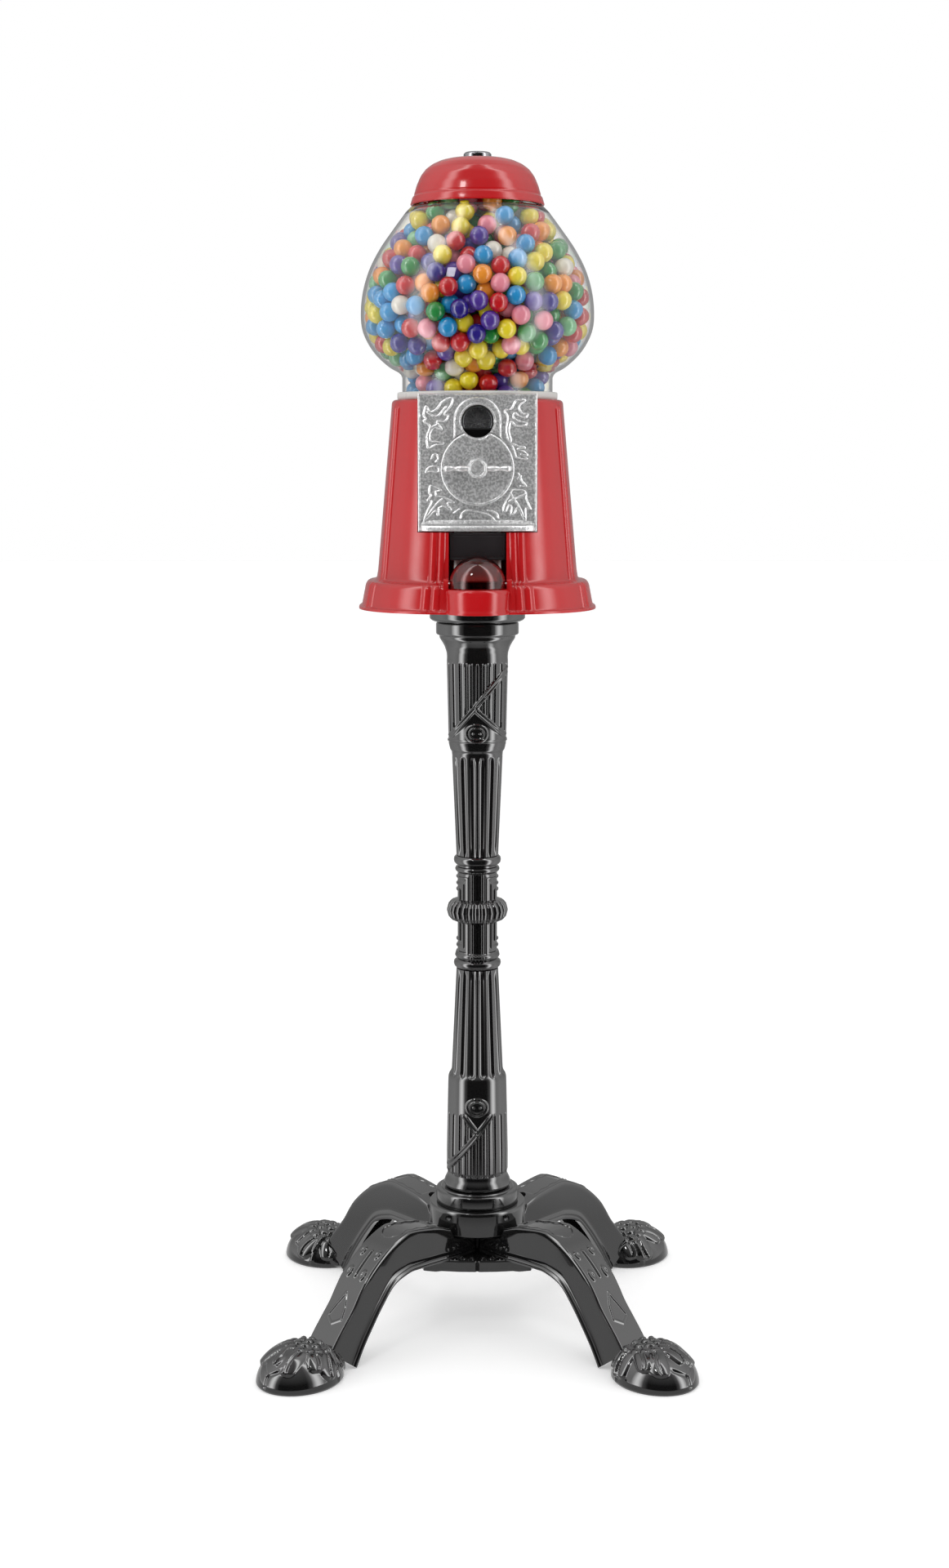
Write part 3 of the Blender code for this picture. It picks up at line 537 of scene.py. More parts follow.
def leg_shell():
    """The leg without its paw, in leg axes: u outwards, v across, z up."""
    count = 250
    tops = smooth_line(LEG_TOP, count)
    unders = smooth_line(LEG_UNDER, count)
    runs = np.gradient(tops, axis=0)
    normals = np.stack([-runs[:, 1], runs[:, 0]], axis=-1)
    normals /= np.linalg.norm(normals, axis=1)[:, None]
    slices = []
    for (top, under) in TONGUE:
        slices.append(leg_section(np.array(top, float), np.array(under, float),
                                  np.array([0.0, 1.0]), 0.0))
    for top, under, normal in zip(tops, unders, normals):
        open_depth = float(np.clip((top[0] - 54) / 4, 0, 1))
        slices.append(leg_section(top, under, normal, open_depth))
    points = np.array(slices)
    return points.reshape(-1, 3)[:, [0, 2, 1]], capped_faces(*points.shape[:2])


def paw_relief(x, y, z):
    """How far the paw's skin stands out, for a direction on the unit sphere."""
    tip = np.array([-0.27, 0.0, 0.963])
    away = np.degrees(np.arccos(np.clip(x * tip[0] + z * tip[2], -1, 1)))
    turn = np.degrees(np.arctan2(y, x * tip[2] - z * tip[0]))
    raised = np.zeros_like(x)
    for k in range(13):
        middle = (k + 0.5) * 360 / 13 - 180
        gap = (turn - middle + 180) % 360 - 180
        reach = np.hypot(gap * np.sin(np.radians(29)), away - 29)
        raised = np.maximum(raised, 2.7 * np.sqrt(hump(reach, 7.6)))
    for middle in (-90, -30, 30, 90, 150, -150):
        gap = (turn - middle + 180) % 360 - 180
        reach = np.hypot(gap * np.sin(np.radians(15)) / 1.3, away - 15)
        raised = np.maximum(raised, 2.2 * np.sqrt(hump(reach, 5.5)))
    raised = np.maximum(raised, 2.6 * np.sqrt(hump(np.hypot(y * 57 / 1.5, away), 6.5)))
    for k in range(11):
        middle = (k + 0.5) * 360 / 11 - 180
        length = (44.0, 33.0)[k % 2]
        t = np.clip((away - 31) / length, 0, 1)
        bend = 7.0 * np.sin(t * 2.6) * (1 if k % 2 else -1)
        gap = (turn - middle - bend + 180) % 360 - 180
        reach = gap / (21.0 * np.sqrt(np.clip(1 - t ** 2.2, 1e-4, 1)) + 0.5)
        leaf = 2.5 * np.sqrt(hump(reach, 1.0)) - 1.3 * hump(reach, 0.16)
        fade = np.clip((away - 30) / 5, 0, 1) * np.clip((1 - t) * 9, 0, 1)
        raised = np.maximum(raised, leaf * fade)
    lines = [((0, 0.42), (0.30, 0.60)), ((0, 0.42), (-0.30, 0.60)), ((0, 0.42), (0, 0.14))]
    for line in lines:
        near = outline_distance(y, z, line) * 30
        raised = raised - 0.9 * hump(near, 1.5) * (x > 0.3)
    raised = raised + 1.5 * hump((x + 0.43) * 36, 1.8) * np.clip(z * 5, 0, 1)
    return raised * np.clip(z * 12, 0, 1)


def paw_shell():
    around, rows = 216, 84
    turns = np.arange(around) * 2 * math.pi / around
    lifts = np.linspace(0, math.pi / 2, rows + 1)[:-1]
    lift, turn = np.meshgrid(lifts, turns, indexing="ij")
    way = np.stack([np.cos(lift) * np.cos(turn), np.cos(lift) * np.sin(turn), np.sin(lift)], -1)
    skin = way * PAW_SIZE
    out = way / PAW_SIZE
    out /= np.linalg.norm(out, axis=-1)[..., None]
    out[..., 2] = np.where(lift < 0.001, 0, out[..., 2])
    raised = paw_relief(way[..., 0], way[..., 1], way[..., 2])
    skin = skin + out * raised[..., None] - out * np.clip(0.06 - lift, 0, 1)[..., None] * 18
    skin[..., 0] += PAW_U
    points = np.concatenate([skin.reshape(-1, 3), [[PAW_U, 0, PAW_SIZE[2] + 2.6]]])
    faces = ring_faces(rows, around)[:(rows - 1) * around]
    last = (rows - 1) * around
    faces += [[last + i, last + (i + 1) % around, rows * around] for i in range(around)]
    faces.append(list(range(around)))
    return points, faces


def cut_or_add(mesh, other, operation):
    """A mesh joined with or cut by another closed one."""
    piece = bpy.data.objects.new("worked", mesh)
    tool = bpy.data.objects.new("tool", other)
    for item in (piece, tool):
        bpy.context.scene.collection.objects.link(item)
    modifier = piece.modifiers.new("work", "BOOLEAN")
    modifier.operation = operation
    modifier.solver = "MANIFOLD"
    modifier.object = tool
    graph = bpy.context.evaluated_depsgraph_get()
    worked = bpy.data.meshes.new_from_object(piece.evaluated_get(graph))
    for item in (piece, tool):
        bpy.data.objects.remove(item)
    return worked


def round_bar(radius, low, high, sides=48):
    """A cylinder around Z between two heights, in millimetres."""
    bm = bmesh.new()
    bmesh.ops.create_cone(bm, cap_ends=True, segments=sides, radius1=radius / 1000,
                          radius2=radius / 1000, depth=(high - low) / 1000)
    bmesh.ops.translate(bm, verts=bm.verts, vec=(0, 0, (low + high) / 2000))
    return finished("round_bar", bm)


def make_legs():
    casting = mesh_of("leg", *leg_shell(), sharp_degrees=50)
    casting = cut_or_add(casting, mesh_of("paw", *paw_shell()), "UNION")
    recess = round_bar(4.9, 82.8, 110)
    recess.transform(Matrix.Translation((0.051, 0, 0)))
    casting = cut_or_add(casting, recess, "DIFFERENCE")
    for name, degrees in LEG_ANGLES.items():
        mesh = casting.copy()
        mesh.transform(Matrix.Rotation(math.radians(degrees), 4, "Z"))
        mesh.set_sharp_from_angle(angle=math.radians(50))
        put_casting(name.replace("leg", "cast_leg"), mesh, name)


make_legs()

# ---- Star plate and hub ------------------------------------------------------------------------
# A flat casting under the four legs, with a bead round its edge and pairs of small scrolls between
# the legs; above the legs a turned hub and a collar clamp everything on the tie rod.

STAR_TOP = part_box("star_plate")[1].z * 1000
hub_low, hub_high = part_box("leg_hub")
collar_low, collar_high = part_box("hub_collar")
BORE = 5.2


def bead(line, radius, closed=False, sides=8):
    """A round bead along points in millimetres, as a closed mesh."""
    line = np.array(line, float)
    if closed:
        runs = np.roll(line, -1, axis=0) - np.roll(line, 1, axis=0)
    else:
        runs = np.gradient(line, axis=0)
    runs /= np.linalg.norm(runs, axis=1)[:, None]
    aside = np.cross(runs, [0, 0, 1.0])
    aside /= np.linalg.norm(aside, axis=1)[:, None] + 1e-9
    over = np.cross(aside, runs)
    turns = np.arange(sides) * 2 * math.pi / sides
    swell = np.ones(len(line)) if closed else np.clip(
        np.minimum(np.arange(len(line)), np.arange(len(line))[::-1]) / 2 + 0.35, 0, 1)
    rings = [middle + radius * size * (np.cos(turns)[:, None] * side + np.sin(turns)[:, None] * top)
             for middle, size, side, top in zip(line, swell, aside, over)]
    faces = (ring_faces if closed else capped_faces)(len(line), sides)
    return mesh_of("bead", np.concatenate(rings), faces)


def spiral(centre, radius, start, turns, shrink, height, count=26):
    """A flat scroll that winds in from its outer end."""
    steps = np.linspace(0, 1, count)
    angle = math.radians(start) + steps * turns * 2 * math.pi
    reach = radius * (1 - steps * (1 - shrink))
    return np.stack([centre[0] + reach * np.cos(angle), centre[1] + reach * np.sin(angle),
                     np.full(count, height)], axis=-1)


def make_star_trim():
    rim = [(-28, -42.6, STAR_TOP), (-15, -44.2, STAR_TOP), (-3, -44.6, STAR_TOP),
           (0, -43, STAR_TOP), (3, -44.6, STAR_TOP), (15, -44.2, STAR_TOP), (28, -42.6, STAR_TOP)]
    beads = [bead(smooth_line(rim, 60), 1.1)]
    for side in (-1, 1):
        beads.append(bead(spiral((side * 5.2, -37.5), 4.2, 90 - side * 90, -side * 1.3, 0.25,
                                 STAR_TOP), 0.9))
        beads.append(bead(spiral((side * 12.5, -36.0), 3.4, 90 + side * 90, side * 1.1, 0.3,
                                 STAR_TOP), 0.8))
        vine = [(side * 15.5, -37, STAR_TOP), (side * 20, -40, STAR_TOP),
                (side * 26, -38, STAR_TOP)]
        beads.append(bead(smooth_line(vine, 16), 0.9))
    quarter = join_meshes("star_trim", beads)
    meshes = []
    for i in range(4):
        mesh = quarter.copy()
        mesh.transform(Matrix.Rotation(i * math.pi / 2, 4, "Z"))
        meshes.append(mesh)
    put_casting("star_plate_trim", join_meshes("star_plate_trim", meshes))


def make_hub():
    high, low = hub_high.z * 1000, hub_low.z * 1000
    outer = rounded([(BORE, high), (39.0, high), (39.6, high - 2.2), (39.6, 79), (38.4, 78),
                     (16.2, 78), (16.2, low), (BORE, low)], 1.6)
    put_casting("hub_casting", turned("hub_casting", outer, [], 128), "leg_hub")
    high, low = collar_high.z * 1000, collar_low.z * 1000
    outer = rounded([(BORE, high), (29.4, high), (29.8, high - 0.9), (34.0, high - 1.2),
                     (34.0, low + 1.4), (32.6, low + 0.4), (32.6, low), (BORE, low)], 1.8)
    put_casting("collar_casting", turned("collar_casting", outer, [], 128), "hub_collar")


make_star_trim()
make_hub()

# ---- Columns -----------------------------------------------------------------------------------
# Turned-pattern castings threaded on the tie rod. Fluted shafts run into wider sleeves with uneven
# reeds, crossed straps and a round medallion, the same on the front and on the back.


def flutes(angle, z, count, depth, low, high):
    """Hollow flutes with rounded ends, between flat fillets."""
    phase = (angle * count / (2 * math.pi)) % 1 - 0.5
    end = np.clip(np.minimum(z - low, high - z) / 3.0, 0, 1)
    width = 0.36 * np.sqrt(np.clip(1 - (1 - end) ** 2, 1e-4, 1))
    return -depth * hump(phase, width) * (end > 0)


REEDS = ((0, 1.2), (11.5, 1.6), (22, 2.0), (35, 1.3), (52, 1.6), (68, 2.4))


def reeds(fold, z, low, high, depth=0.95):
    """Uneven grooves with a thin ridge on each side, given by angle and half width in degrees."""
    degrees = np.degrees(np.abs(fold))
    end = np.clip(np.minimum(z - low, high - z) / 2.2, 0, 1)
    raised = np.zeros_like(degrees)
    for middle, half in REEDS:
        gap = np.abs(degrees - middle)
        raised = raised - depth * bar(gap, half, 1.1) + 0.35 * hump(gap - half - 1.5, 1.3)
    return raised * np.sqrt(end)


def strap(x, z, cross, slope, side=0):
    """Two ridges along a slanting line; side keeps only the part right (1) or left (-1)."""
    away = (z - cross[1] - slope * (x - cross[0])) / math.hypot(1, slope)
    ridge = 1.15 * hump(away - 1.5, 0.95) + 1.0 * hump(away + 1.5, 0.95)
    ridge = ridge + 0.35 * bar(away, 1.5, 0.6)
    if side:
        ridge = ridge * np.clip(side * (x - cross[0]) / 0.6, 0, 1)
    return ridge, away


def medallion(x, z, centre):
    """Concentric oval rings with two small dots."""
    dx = x - centre[0]
    dz = (z - centre[1]) * 1.18
    reach = np.hypot(dx, dz)
    raised = 0.85 * hump(reach - 8.3, 1.0) + 0.5 * bar(reach, 6.3, 0.8)
    raised = raised + 0.75 * hump(reach - 5.6, 0.95)
    return raised + 0.9 * hump(np.hypot(np.abs(dx) - 2.6, dz), 1.2)


def sleeve_relief(radius, cross, slopes, reed_span, medal, below):
    """Relief of a sleeve: reeds on one side of the straps, a plain field on the other.

    below is 1 where the plain field hangs under the crossing, -1 where it stands over it."""
    def relief(angle, z):
        fold = from_front(angle)
        x = radius * np.sin(fold)
        long, away_long = strap(x, z, cross, slopes[0])
        short, away_short = strap(x, z, cross, slopes[1], side=below)
        field = np.where(below * (x - cross[0]) < 0, away_long, away_short) * below < -1.0
        inside = (z > reed_span[0]) & (z < reed_span[1])
        clear = (np.abs(away_long) > 2.3) & ((np.abs(away_short) > 2.3)
                                            | (below * (x - cross[0]) < 0))
        raised = np.where(inside & clear & ~field, reeds(fold, z, *reed_span), 0)
        front = np.clip((math.radians(80) - np.abs(fold)) / math.radians(8), 0, 1)
        low, high = reed_span[0] - 3, reed_span[1] + 1
        in_span = np.clip(np.minimum(z - low, high - z) / 1.5, 0, 1)
        raised = raised + np.maximum(long, short) * front * in_span
        return raised + medallion(x, z, medal) * front
    return relief


def column_parts(outer, spans):
    """Cut the outer line coarsely, but finely between the given heights."""
    fine = [outer[0]]
    for start, end in zip(outer, outer[1:]):
        middle = (start[1] + end[1]) / 2
        step = min([size for low, high, size in spans if low <= middle <= high], default=4.0)
        fine += cut_fine([start, end], step)[1:]
    return fine


def make_column(name, outer, relief, spans, node, around=400):
    outer = column_parts(outer, spans)
    inner = [(BORE, outer[-1][1]), (BORE, outer[0][1])]
    mesh = turned(name, outer, inner, around, relief, sharp_degrees=60)
    put_casting(name, mesh, node)


def upper_relief(angle, z):
    sleeve = sleeve_relief(23.8, (-2.4, 509.0), (1.2, -0.92), (483.5, 545.0), (-0.6, 489.0), 1)
    shaft = flutes(angle, z, 16, 1.5, 390.5, 469.0)
    rib = 0.8 * hump(z - 482.2, 1.1)
    return np.where(z > 474, sleeve(angle, z) + rib, shaft)


def lower_relief(angle, z):
    sleeve = sleeve_relief(24.4, (0.2, 161.5), (1.33, -1.4), (124.0, 176.0), (-0.3, 183.5), -1)
    shaft = flutes(angle, z, 16, 1.5, 207.0, 292.5)
    return np.where(z < 203.5, sleeve(angle, z), shaft)


def boss_relief(angle, z):
    radius = 16.9
    across = np.abs(from_front(angle)) * radius
    upper = (z > 352.3) & (z < 375.5)
    lower = (z > 302.5) & (z < 333.6)
    rods = np.maximum(bar(across - 1.25, 0.75, 0.4), bar(across - 4.2, 1.05, 0.4))
    frames = np.zeros_like(across)
    for reach, drop in ((8.9, 0), (13.2, 5.2), (17.6, 10.4)):
        high = np.maximum(reach - across, z - 370.4 + drop)
        low = np.maximum(reach - across, 308.9 + drop - z)
        frames = np.maximum(frames, np.where(upper, bar(high, 0.95, 0.4), bar(low, 0.95, 0.4)))
    raised = 1.15 * np.maximum(rods, frames) * (upper | lower)
    phase = (angle * 26 / (2 * math.pi)) % 1 - 0.5
    lobes = -2.7 * (1 - np.sqrt(np.clip(1 - (2 * phase) ** 2 * 0.97, 0, 1)))
    bulb = np.clip(np.minimum(z - 333.9, 352.1 - z) / 2.2, 0, 1)
    return raised + lobes * bulb


def make_columns():
    upper = [
        (31.8, 576.8), (33.0, 575.6), (33.0, 567.6), (32.4, 566.7), (30.4, 566.2), (30.2, 563.6),
        (28.6, 561.4), (26.2, 557.2), (24.7, 552.6), (24.3, 549.0), (24.5, 545.5), (23.1, 481.5),
        (23.0, 479.0), (21.9, 474.4), (20.6, 472.6), (20.3, 469.5), (16.9, 388.3)]
    make_column("upper_column_casting", rounded(upper, 1.2, 3), upper_relief,
                [(472, 547, 0.6), (386, 395, 0.9), (462, 472, 0.9)], "upper_column")
    boss = [
        (15.6, 388), (17.6, 387.6), (18.8, 386.2), (19.1, 384.3), (18.7, 382.3), (17.3, 380.8),
        (15.9, 380.2), (15.9, 379.2), (17.3, 378.6), (18.0, 377.2), (17.8, 375.8), (16.4, 374.4),
        (16.0, 373.8), (16.0, 352.6), (17.6, 352.0), (21.3, 350.6), (23.6, 347.9), (24.9, 343.0),
        (23.6, 338.1), (21.3, 335.4), (17.6, 334.0), (16.0, 333.4), (16.0, 309.0), (16.6, 308.2),
        (17.9, 307.2), (18.2, 305.6), (17.4, 304.0), (16.2, 303.2), (17.2, 302.4), (18.9, 300.9),
        (19.2, 299.0), (18.6, 297.0), (17.4, 295.8), (16.4, 295.0)]
    make_column("centre_boss_casting", boss, boss_relief,
                [(302, 376, 0.55), (294, 303, 0.7), (376, 389, 0.7)], "centre_boss", 416)
    lower = [
        (17.0, 294.7), (20.9, 211.0), (21.6, 208.6), (23.2, 206.2), (23.8, 203.6), (24.0, 198.0),
        (25.2, 141.0), (25.2, 126.0), (24.6, 124.4), (24.5, 122.8), (25.0, 120.8), (26.6, 117.6),
        (27.4, 115.0), (27.3, 113.6), (26.4, 112.2), (25.6, 111.5)]
    make_column("lower_column_casting", rounded(lower, 1.2, 3), lower_relief,
                [(121, 199, 0.6), (199, 214, 0.9), (289, 295, 0.9), (111, 121, 1.2)],
                "lower_column")
    cap = rounded([(BORE, 587.7), (37.0, 587.7), (38.1, 586.6), (38.1, 579.6), (36.8, 578.2),
                   (34.4, 577.1), (BORE, 577.1)], 0.8)
    put_casting("top_plate_casting", turned("top_plate_casting", cap, [], 128), "stand_top_plate")


make_columns()

# ---- Body --------------------------------------------------------------------------------------
# A die-cast body, square-shouldered in plan, sprayed red. Paired reeds run down it beside the
# chute and at its corners and on over the flange; the cup for the fingers is cast on in front.

BODY_POWER = 2.45
ROUND_TO_R = 57.0
SQUARE_FROM_R = 63.0
BODY_REEDS = ((20.0, 2.0), (24.6, 2.0), (59.5, 1.8), (63.6, 1.8))
CUP_Y = -84.0
CUP_HOLE_R = 21.2

red_enamel = coated(
    "red_enamel", (0.46, 0.004, 0.007, 1), (0.42, 0.003, 0.005, 1), (0.62, 0.03, 0.03, 1), 0.5,
    (0.16, 0.26), 480.0, (0.05, 0.0001), Coat_Weight=0.4, Coat_Roughness=0.04,
    Specular_IOR_Level=0.3)


def squared(turns, radius):
    """How much further out a round plan goes at each angle, once it is squared off."""
    reach = (np.abs(np.cos(turns)) ** BODY_POWER + np.abs(np.sin(turns)) ** BODY_POWER)
    share = np.clip((radius - ROUND_TO_R) / (SQUARE_FROM_R - ROUND_TO_R), 0, 1)
    return 1 + (reach ** (-1 / BODY_POWER) - 1) * share


def block(low, high):
    """A box between two corners, in millimetres."""
    bm = bmesh.new()
    bmesh.ops.create_cube(bm, size=1.0)
    for vertex in bm.verts:
        for axis in range(3):
            middle = (low[axis] + high[axis]) / 2000
            vertex.co[axis] = middle + vertex.co[axis] * (high[axis] - low[axis]) / 1000
    return finished("block", bm)


def placed(mesh, *steps):
    """The mesh, moved by matrices in turn."""
    for step in steps:
        mesh.transform(step)
    return mesh


def moved(x, y, z):
    return Matrix.Translation((x / 1000, y / 1000, z / 1000))


def make_body():
    outer = rounded([
        (57.0, 750.5), (65.6, 750.5), (67.2, 748.6), (67.6, 743.0), (78.6, 619.0), (79.7, 612.4),
        (81.6, 610.6), (86.6, 610.2), (88.4, 607.6), (91.0, 594.0), (91.8, 590.8), (93.9, 590.4),
        (93.9, 588.3)], 1.8, 3)
    inner = [
        (91.4, 588.3), (88.8, 594.0), (86.4, 607.8), (80.0, 608.5), (77.4, 612.0), (76.4, 619.0),
        (65.1, 746.6), (64.0, 748.3), (57.0, 748.3)]
    around = 640
    turns = np.arange(around) * 2 * math.pi / around
    radius, height = np.array([*outer, *inner]).T
    reach = radius[:, None] * squared(turns[None, :], radius[:, None])
    fold = np.degrees(np.abs(from_front(turns)))
    ridge = sum(np.sqrt(hump(fold - middle, half)) for middle, half in BODY_REEDS)
    start = np.clip((746.5 - height) / 3.0, 0, 1)[:, None]
    outside = (np.arange(len(radius)) < len(outer) - 2)[:, None]
    reach = reach + 1.45 * ridge * np.sqrt(start) * outside
    points = np.stack([reach * np.cos(turns), reach * np.sin(turns),
                       np.repeat(height[:, None], around, axis=1)], axis=-1)
    shell = mesh_of("body_shell", points.reshape(-1, 3), ring_faces(len(radius), around))
    tub = turned("tub", rounded([
        (0, 607.4), (23.4, 607.4), (24.6, 606.0), (25.0, 604.4), (24.6, 602.8), (24.4, 592.0),
        (25.2, 589.6), (25.2, 588.3), (0, 588.3)], 0.9, 3), [], 96)
    shell = cut_or_add(shell, placed(tub, moved(0, CUP_Y, 0)), "UNION")
    for side in (-1, 1):
        low, high = sorted((side * 22.2, side * 26.0))
        shell = cut_or_add(shell, block((low, CUP_Y - 3.5, 603), (high, CUP_Y + 3.5, 613.4)),
                           "UNION")
        knuckle = placed(round_bar(3.5, low, high, 32), Matrix.Rotation(math.pi / 2, 4, "Y"),
                         moved(0, CUP_Y, 611.5))
        shell = cut_or_add(shell, knuckle, "UNION")
    shell = cut_or_add(shell, block((-22, -99, 607.3), (22, -55, 649.7)), "DIFFERENCE")
    hole = placed(round_bar(CUP_HOLE_R, 591.0, 640.0, 96), moved(0, CUP_Y, 0))
    shell = cut_or_add(shell, hole, "DIFFERENCE")
    shell = cut_or_add(shell, block((-45.9, -99, 649.4), (45.9, -56.6, 770)), "DIFFERENCE")
    pivots = placed(round_bar(1.5, -30, 30, 24), Matrix.Rotation(math.pi / 2, 4, "Y"),
                    moved(0, CUP_Y, 611))
    shell = cut_or_add(shell, pivots, "DIFFERENCE")
    shell.set_sharp_from_angle(angle=math.radians(35))
    put_in("painted_body", shell, red_enamel, "machine", "red_paint", "body_shell")


make_body()

# ---- Front plate -------------------------------------------------------------------------------
# A bare zinc die casting with a sand-stippled ground, leaves and scrolls with polished edges, a
# keyhole frame round the window and a curved, polished lip along the bottom.

PLATE_FACE = -66.0
PLATE_BACK = -63.4
PLATE_HALF = 45.5
PLATE_BOTTOM = 650.0
PLATE_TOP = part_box("front_plate")[1].z * 1000
KNOB_Z = 697.7
KNOB_R = 28.2
WINDOW_Z = 733.3
WINDOW_R = 12.4
LEAVES = [
    [(-19, 750.5), (-20.5, 744.5), (-25.5, 739), (-22.5, 737.5), (-24.5, 733.5), (-31, 733),
     (-27, 727), (-32.5, 728.5), (-36, 724.5), (-36, 719), (-32, 718), (-25.5, 716.5),
     (-32, 715.5), (-37.5, 713), (-38.5, 722), (-36, 729.5), (-41, 733), (-39, 735),
     (-41, 738), (-39, 744.5), (-36, 740), (-31, 742.5), (-27.5, 747), (-23, 750)],
    [(28, 747), (30, 749), (36, 749), (32, 745), (32, 741.5), (35, 738.5), (38, 739),
     (36.5, 736), (31.5, 737), (28.5, 739.5), (27, 736.5), (30.5, 733.5), (37, 732),
     (36, 730), (29, 730), (25.5, 733), (24, 726), (25.5, 718.5), (23.5, 719), (22, 727),
     (23, 736.5), (20.5, 741), (25.5, 742.5)],
    [(26, 716), (31, 714.5), (36.5, 713.5), (30.5, 712.5), (35, 710.5), (38, 707.5),
     (33, 708.5), (37.5, 705), (30, 706), (28, 711)],
    [(25, 679), (27, 681.5), (36, 680.5), (37.5, 674), (40.5, 667), (37, 667.5), (36.5, 658.5),
     (33, 665), (30.5, 668), (28, 664), (25.5, 663), (26, 668), (24, 670), (21.5, 665),
     (19.5, 666), (21, 672), (24, 677)],
    [(-26, 676), (-18, 672), (-23, 671.5), (-20, 666), (-25, 669), (-29.5, 667.5), (-30, 662),
     (-32.5, 665.5), (-40.5, 658), (-38.5, 665), (-35, 673), (-38, 673.5), (-35.5, 677.5),
     (-37, 679.5), (-36, 684.5), (-32, 683.5), (-28, 681.5), (-32, 680), (-31, 677)],
    [(-30.5, 699), (-37, 698.5), (-39.5, 694.5), (-36, 695.5), (-30, 695)]]
VEINS = [
    [(-38, 740), (-31, 737), (-24, 744)], [(-36, 728), (-30, 731)],
    [(25, 679), (31, 670), (36, 660)],
    [(24, 673), (31, 676), (36, 678)], [(-39, 661), (-32, 670), (-27, 675)],
    [(-35, 705), (-33.5, 708), (-31, 708), (-30, 705), (-31.5, 703)],
    [(-13, 660), (-11.5, 664), (-7.5, 666), (-2, 665.5), (4.5, 664), (9.5, 662), (13.5, 658)],
    [(8, 666), (12, 665), (15, 663), (16, 660)], [(-18, 664), (-14, 667)],
    [(31, 694), (34, 688), (37, 684.5), (33, 684.5)], [(30, 690), (33, 692)]]


def make_cast_metal_group():
    """Bare cast metal: sandy grain, grey in the hollows and rubbed bright on the edges."""
    group, given, result = new_group("cast_metal", [
        ("Colour", "colour", (0.6, 0.6, 0.6, 1)), ("Hollow", "colour", (0.3, 0.3, 0.3, 1)),
        ("Bright", "colour", (0.85, 0.85, 0.85, 1)), ("Grain Scale", "value", 1200.0),
        ("Rough", "value", 0.4), ("Polished", "value", 0.2)],
        [("Colour", "colour"), ("Roughness", "value"), ("Height", "value")])
    value = given.outputs
    grain = noise_value(group, value["Grain Scale"], 3.0)
    shape = put(group, "ShaderNodeNewGeometry").outputs["Pointiness"]
    edge = span(group, shape, 0.505, 0.58, 0.0, 1.0)
    deep = span(group, shape, 0.497, 0.44, 0.0, 0.9)
    speck = span(group, grain, 0.62, 0.40, 0.0, 0.55)
    dark = maths(group, "MAXIMUM", deep, speck)
    ground = mix_colours(group, dark, value["Colour"], value["Hollow"])
    group.links.new(mix_colours(group, edge, ground, value["Bright"]), result.inputs["Colour"])
    rough = span(group, noise_value(group, 60.0, 3.0), 0.3, 0.7, 0.85, 1.15)
    worn = span(group, edge, 0.0, 1.0, value["Rough"], value["Polished"])
    group.links.new(maths(group, "MULTIPLY", rough, worn), result.inputs["Roughness"])
    group.links.new(grain, result.inputs["Height"])
    return group


CAST_METAL = make_cast_metal_group()


def bare_metal(name, colour, hollow, bright, grain, rough, polished, bump, metallic=1.0):
    """A material with the cast metal group, in the order of its inputs."""
    values = (colour, hollow, bright, grain, rough, polished)
    return surfaced(name, CAST_METAL, values, bump, {"Metallic": metallic})


die_cast = bare_metal(
    "die_cast", (0.80, 0.80, 0.80, 1), (0.12, 0.12, 0.125, 1), (0.95, 0.95, 0.95, 1), 640.0,
    0.36, 0.18, (0.75, 0.0005), metallic=0.62)


def relief_sheet(name, xs, zs, face, back, holes, disc=None):
    """A casting with a worked front: face(x, z) is its front Y, back its flat back's Y.

    holes are (x, z, radius) circles cut through it, and disc a circle that it is cut to."""
    x, z = np.meshgrid(xs, zs)
    circles = [(*hole, 1) for hole in holes] + ([(*disc, -1)] if disc else [])
    keep = np.ones(x.shape, bool)
    for cx, cz, radius, sign in circles:
        keep &= sign * (np.hypot(x - cx, z - cz) - radius) > 0
    cells = keep[:-1, :-1] & keep[1:, :-1] & keep[:-1, 1:] & keep[1:, 1:]
    around = np.pad(cells, 1)
    touching = [around[:-1, :-1], around[1:, :-1], around[:-1, 1:], around[1:, 1:]]
    border = np.any(touching, axis=0) & ~np.all(touching, axis=0)
    step = 1.6 * abs(xs[1] - xs[0])
    for cx, cz, radius, _ in circles:
        reach = np.hypot(x - cx, z - cz)
        near = border & (np.abs(reach - radius) < step)
        x = np.where(near, cx + (x - cx) * radius / reach, x)
        z = np.where(near, cz + (z - cz) * radius / reach, z)
    front = np.stack([x, face(x, z), z], axis=-1).reshape(-1, 3)
    rear = np.stack([x, np.full(x.shape, back), z], axis=-1).reshape(-1, 3)
    index = np.arange(x.size).reshape(x.shape)
    quads = np.stack([index[:-1, :-1], index[:-1, 1:], index[1:, 1:], index[1:, :-1]], -1)[cells]
    sides = np.concatenate([quads[:, [i, (i + 1) % 4]] for i in range(4)])
    both = {tuple(edge) for edge in sides.tolist()}
    walls = [(b, a, a + x.size, b + x.size) for a, b in both if (b, a) not in both]
    faces = quads.tolist() + (quads[:, ::-1] + x.size).tolist() + sorted(walls)
    points = np.concatenate([front, rear])
    used = np.unique(np.concatenate([np.asarray(f) for f in faces]))
    place = np.full(len(points), -1)
    place[used] = np.arange(len(used))
    return mesh_of(name, points[used], [[int(place[i]) for i in f] for f in faces], 50)


def inside_line(x, z, line):
    """True where a point lies inside a closed line."""
    odd = np.zeros(x.shape, bool)
    for (ax, az), (bx, bz) in zip(line, np.roll(line, -1, axis=0)):
        if az != bz:
            cross = (az > z) != (bz > z)
            odd ^= cross & (x < (bx - ax) * (z - az) / (bz - az) + ax)
    return odd


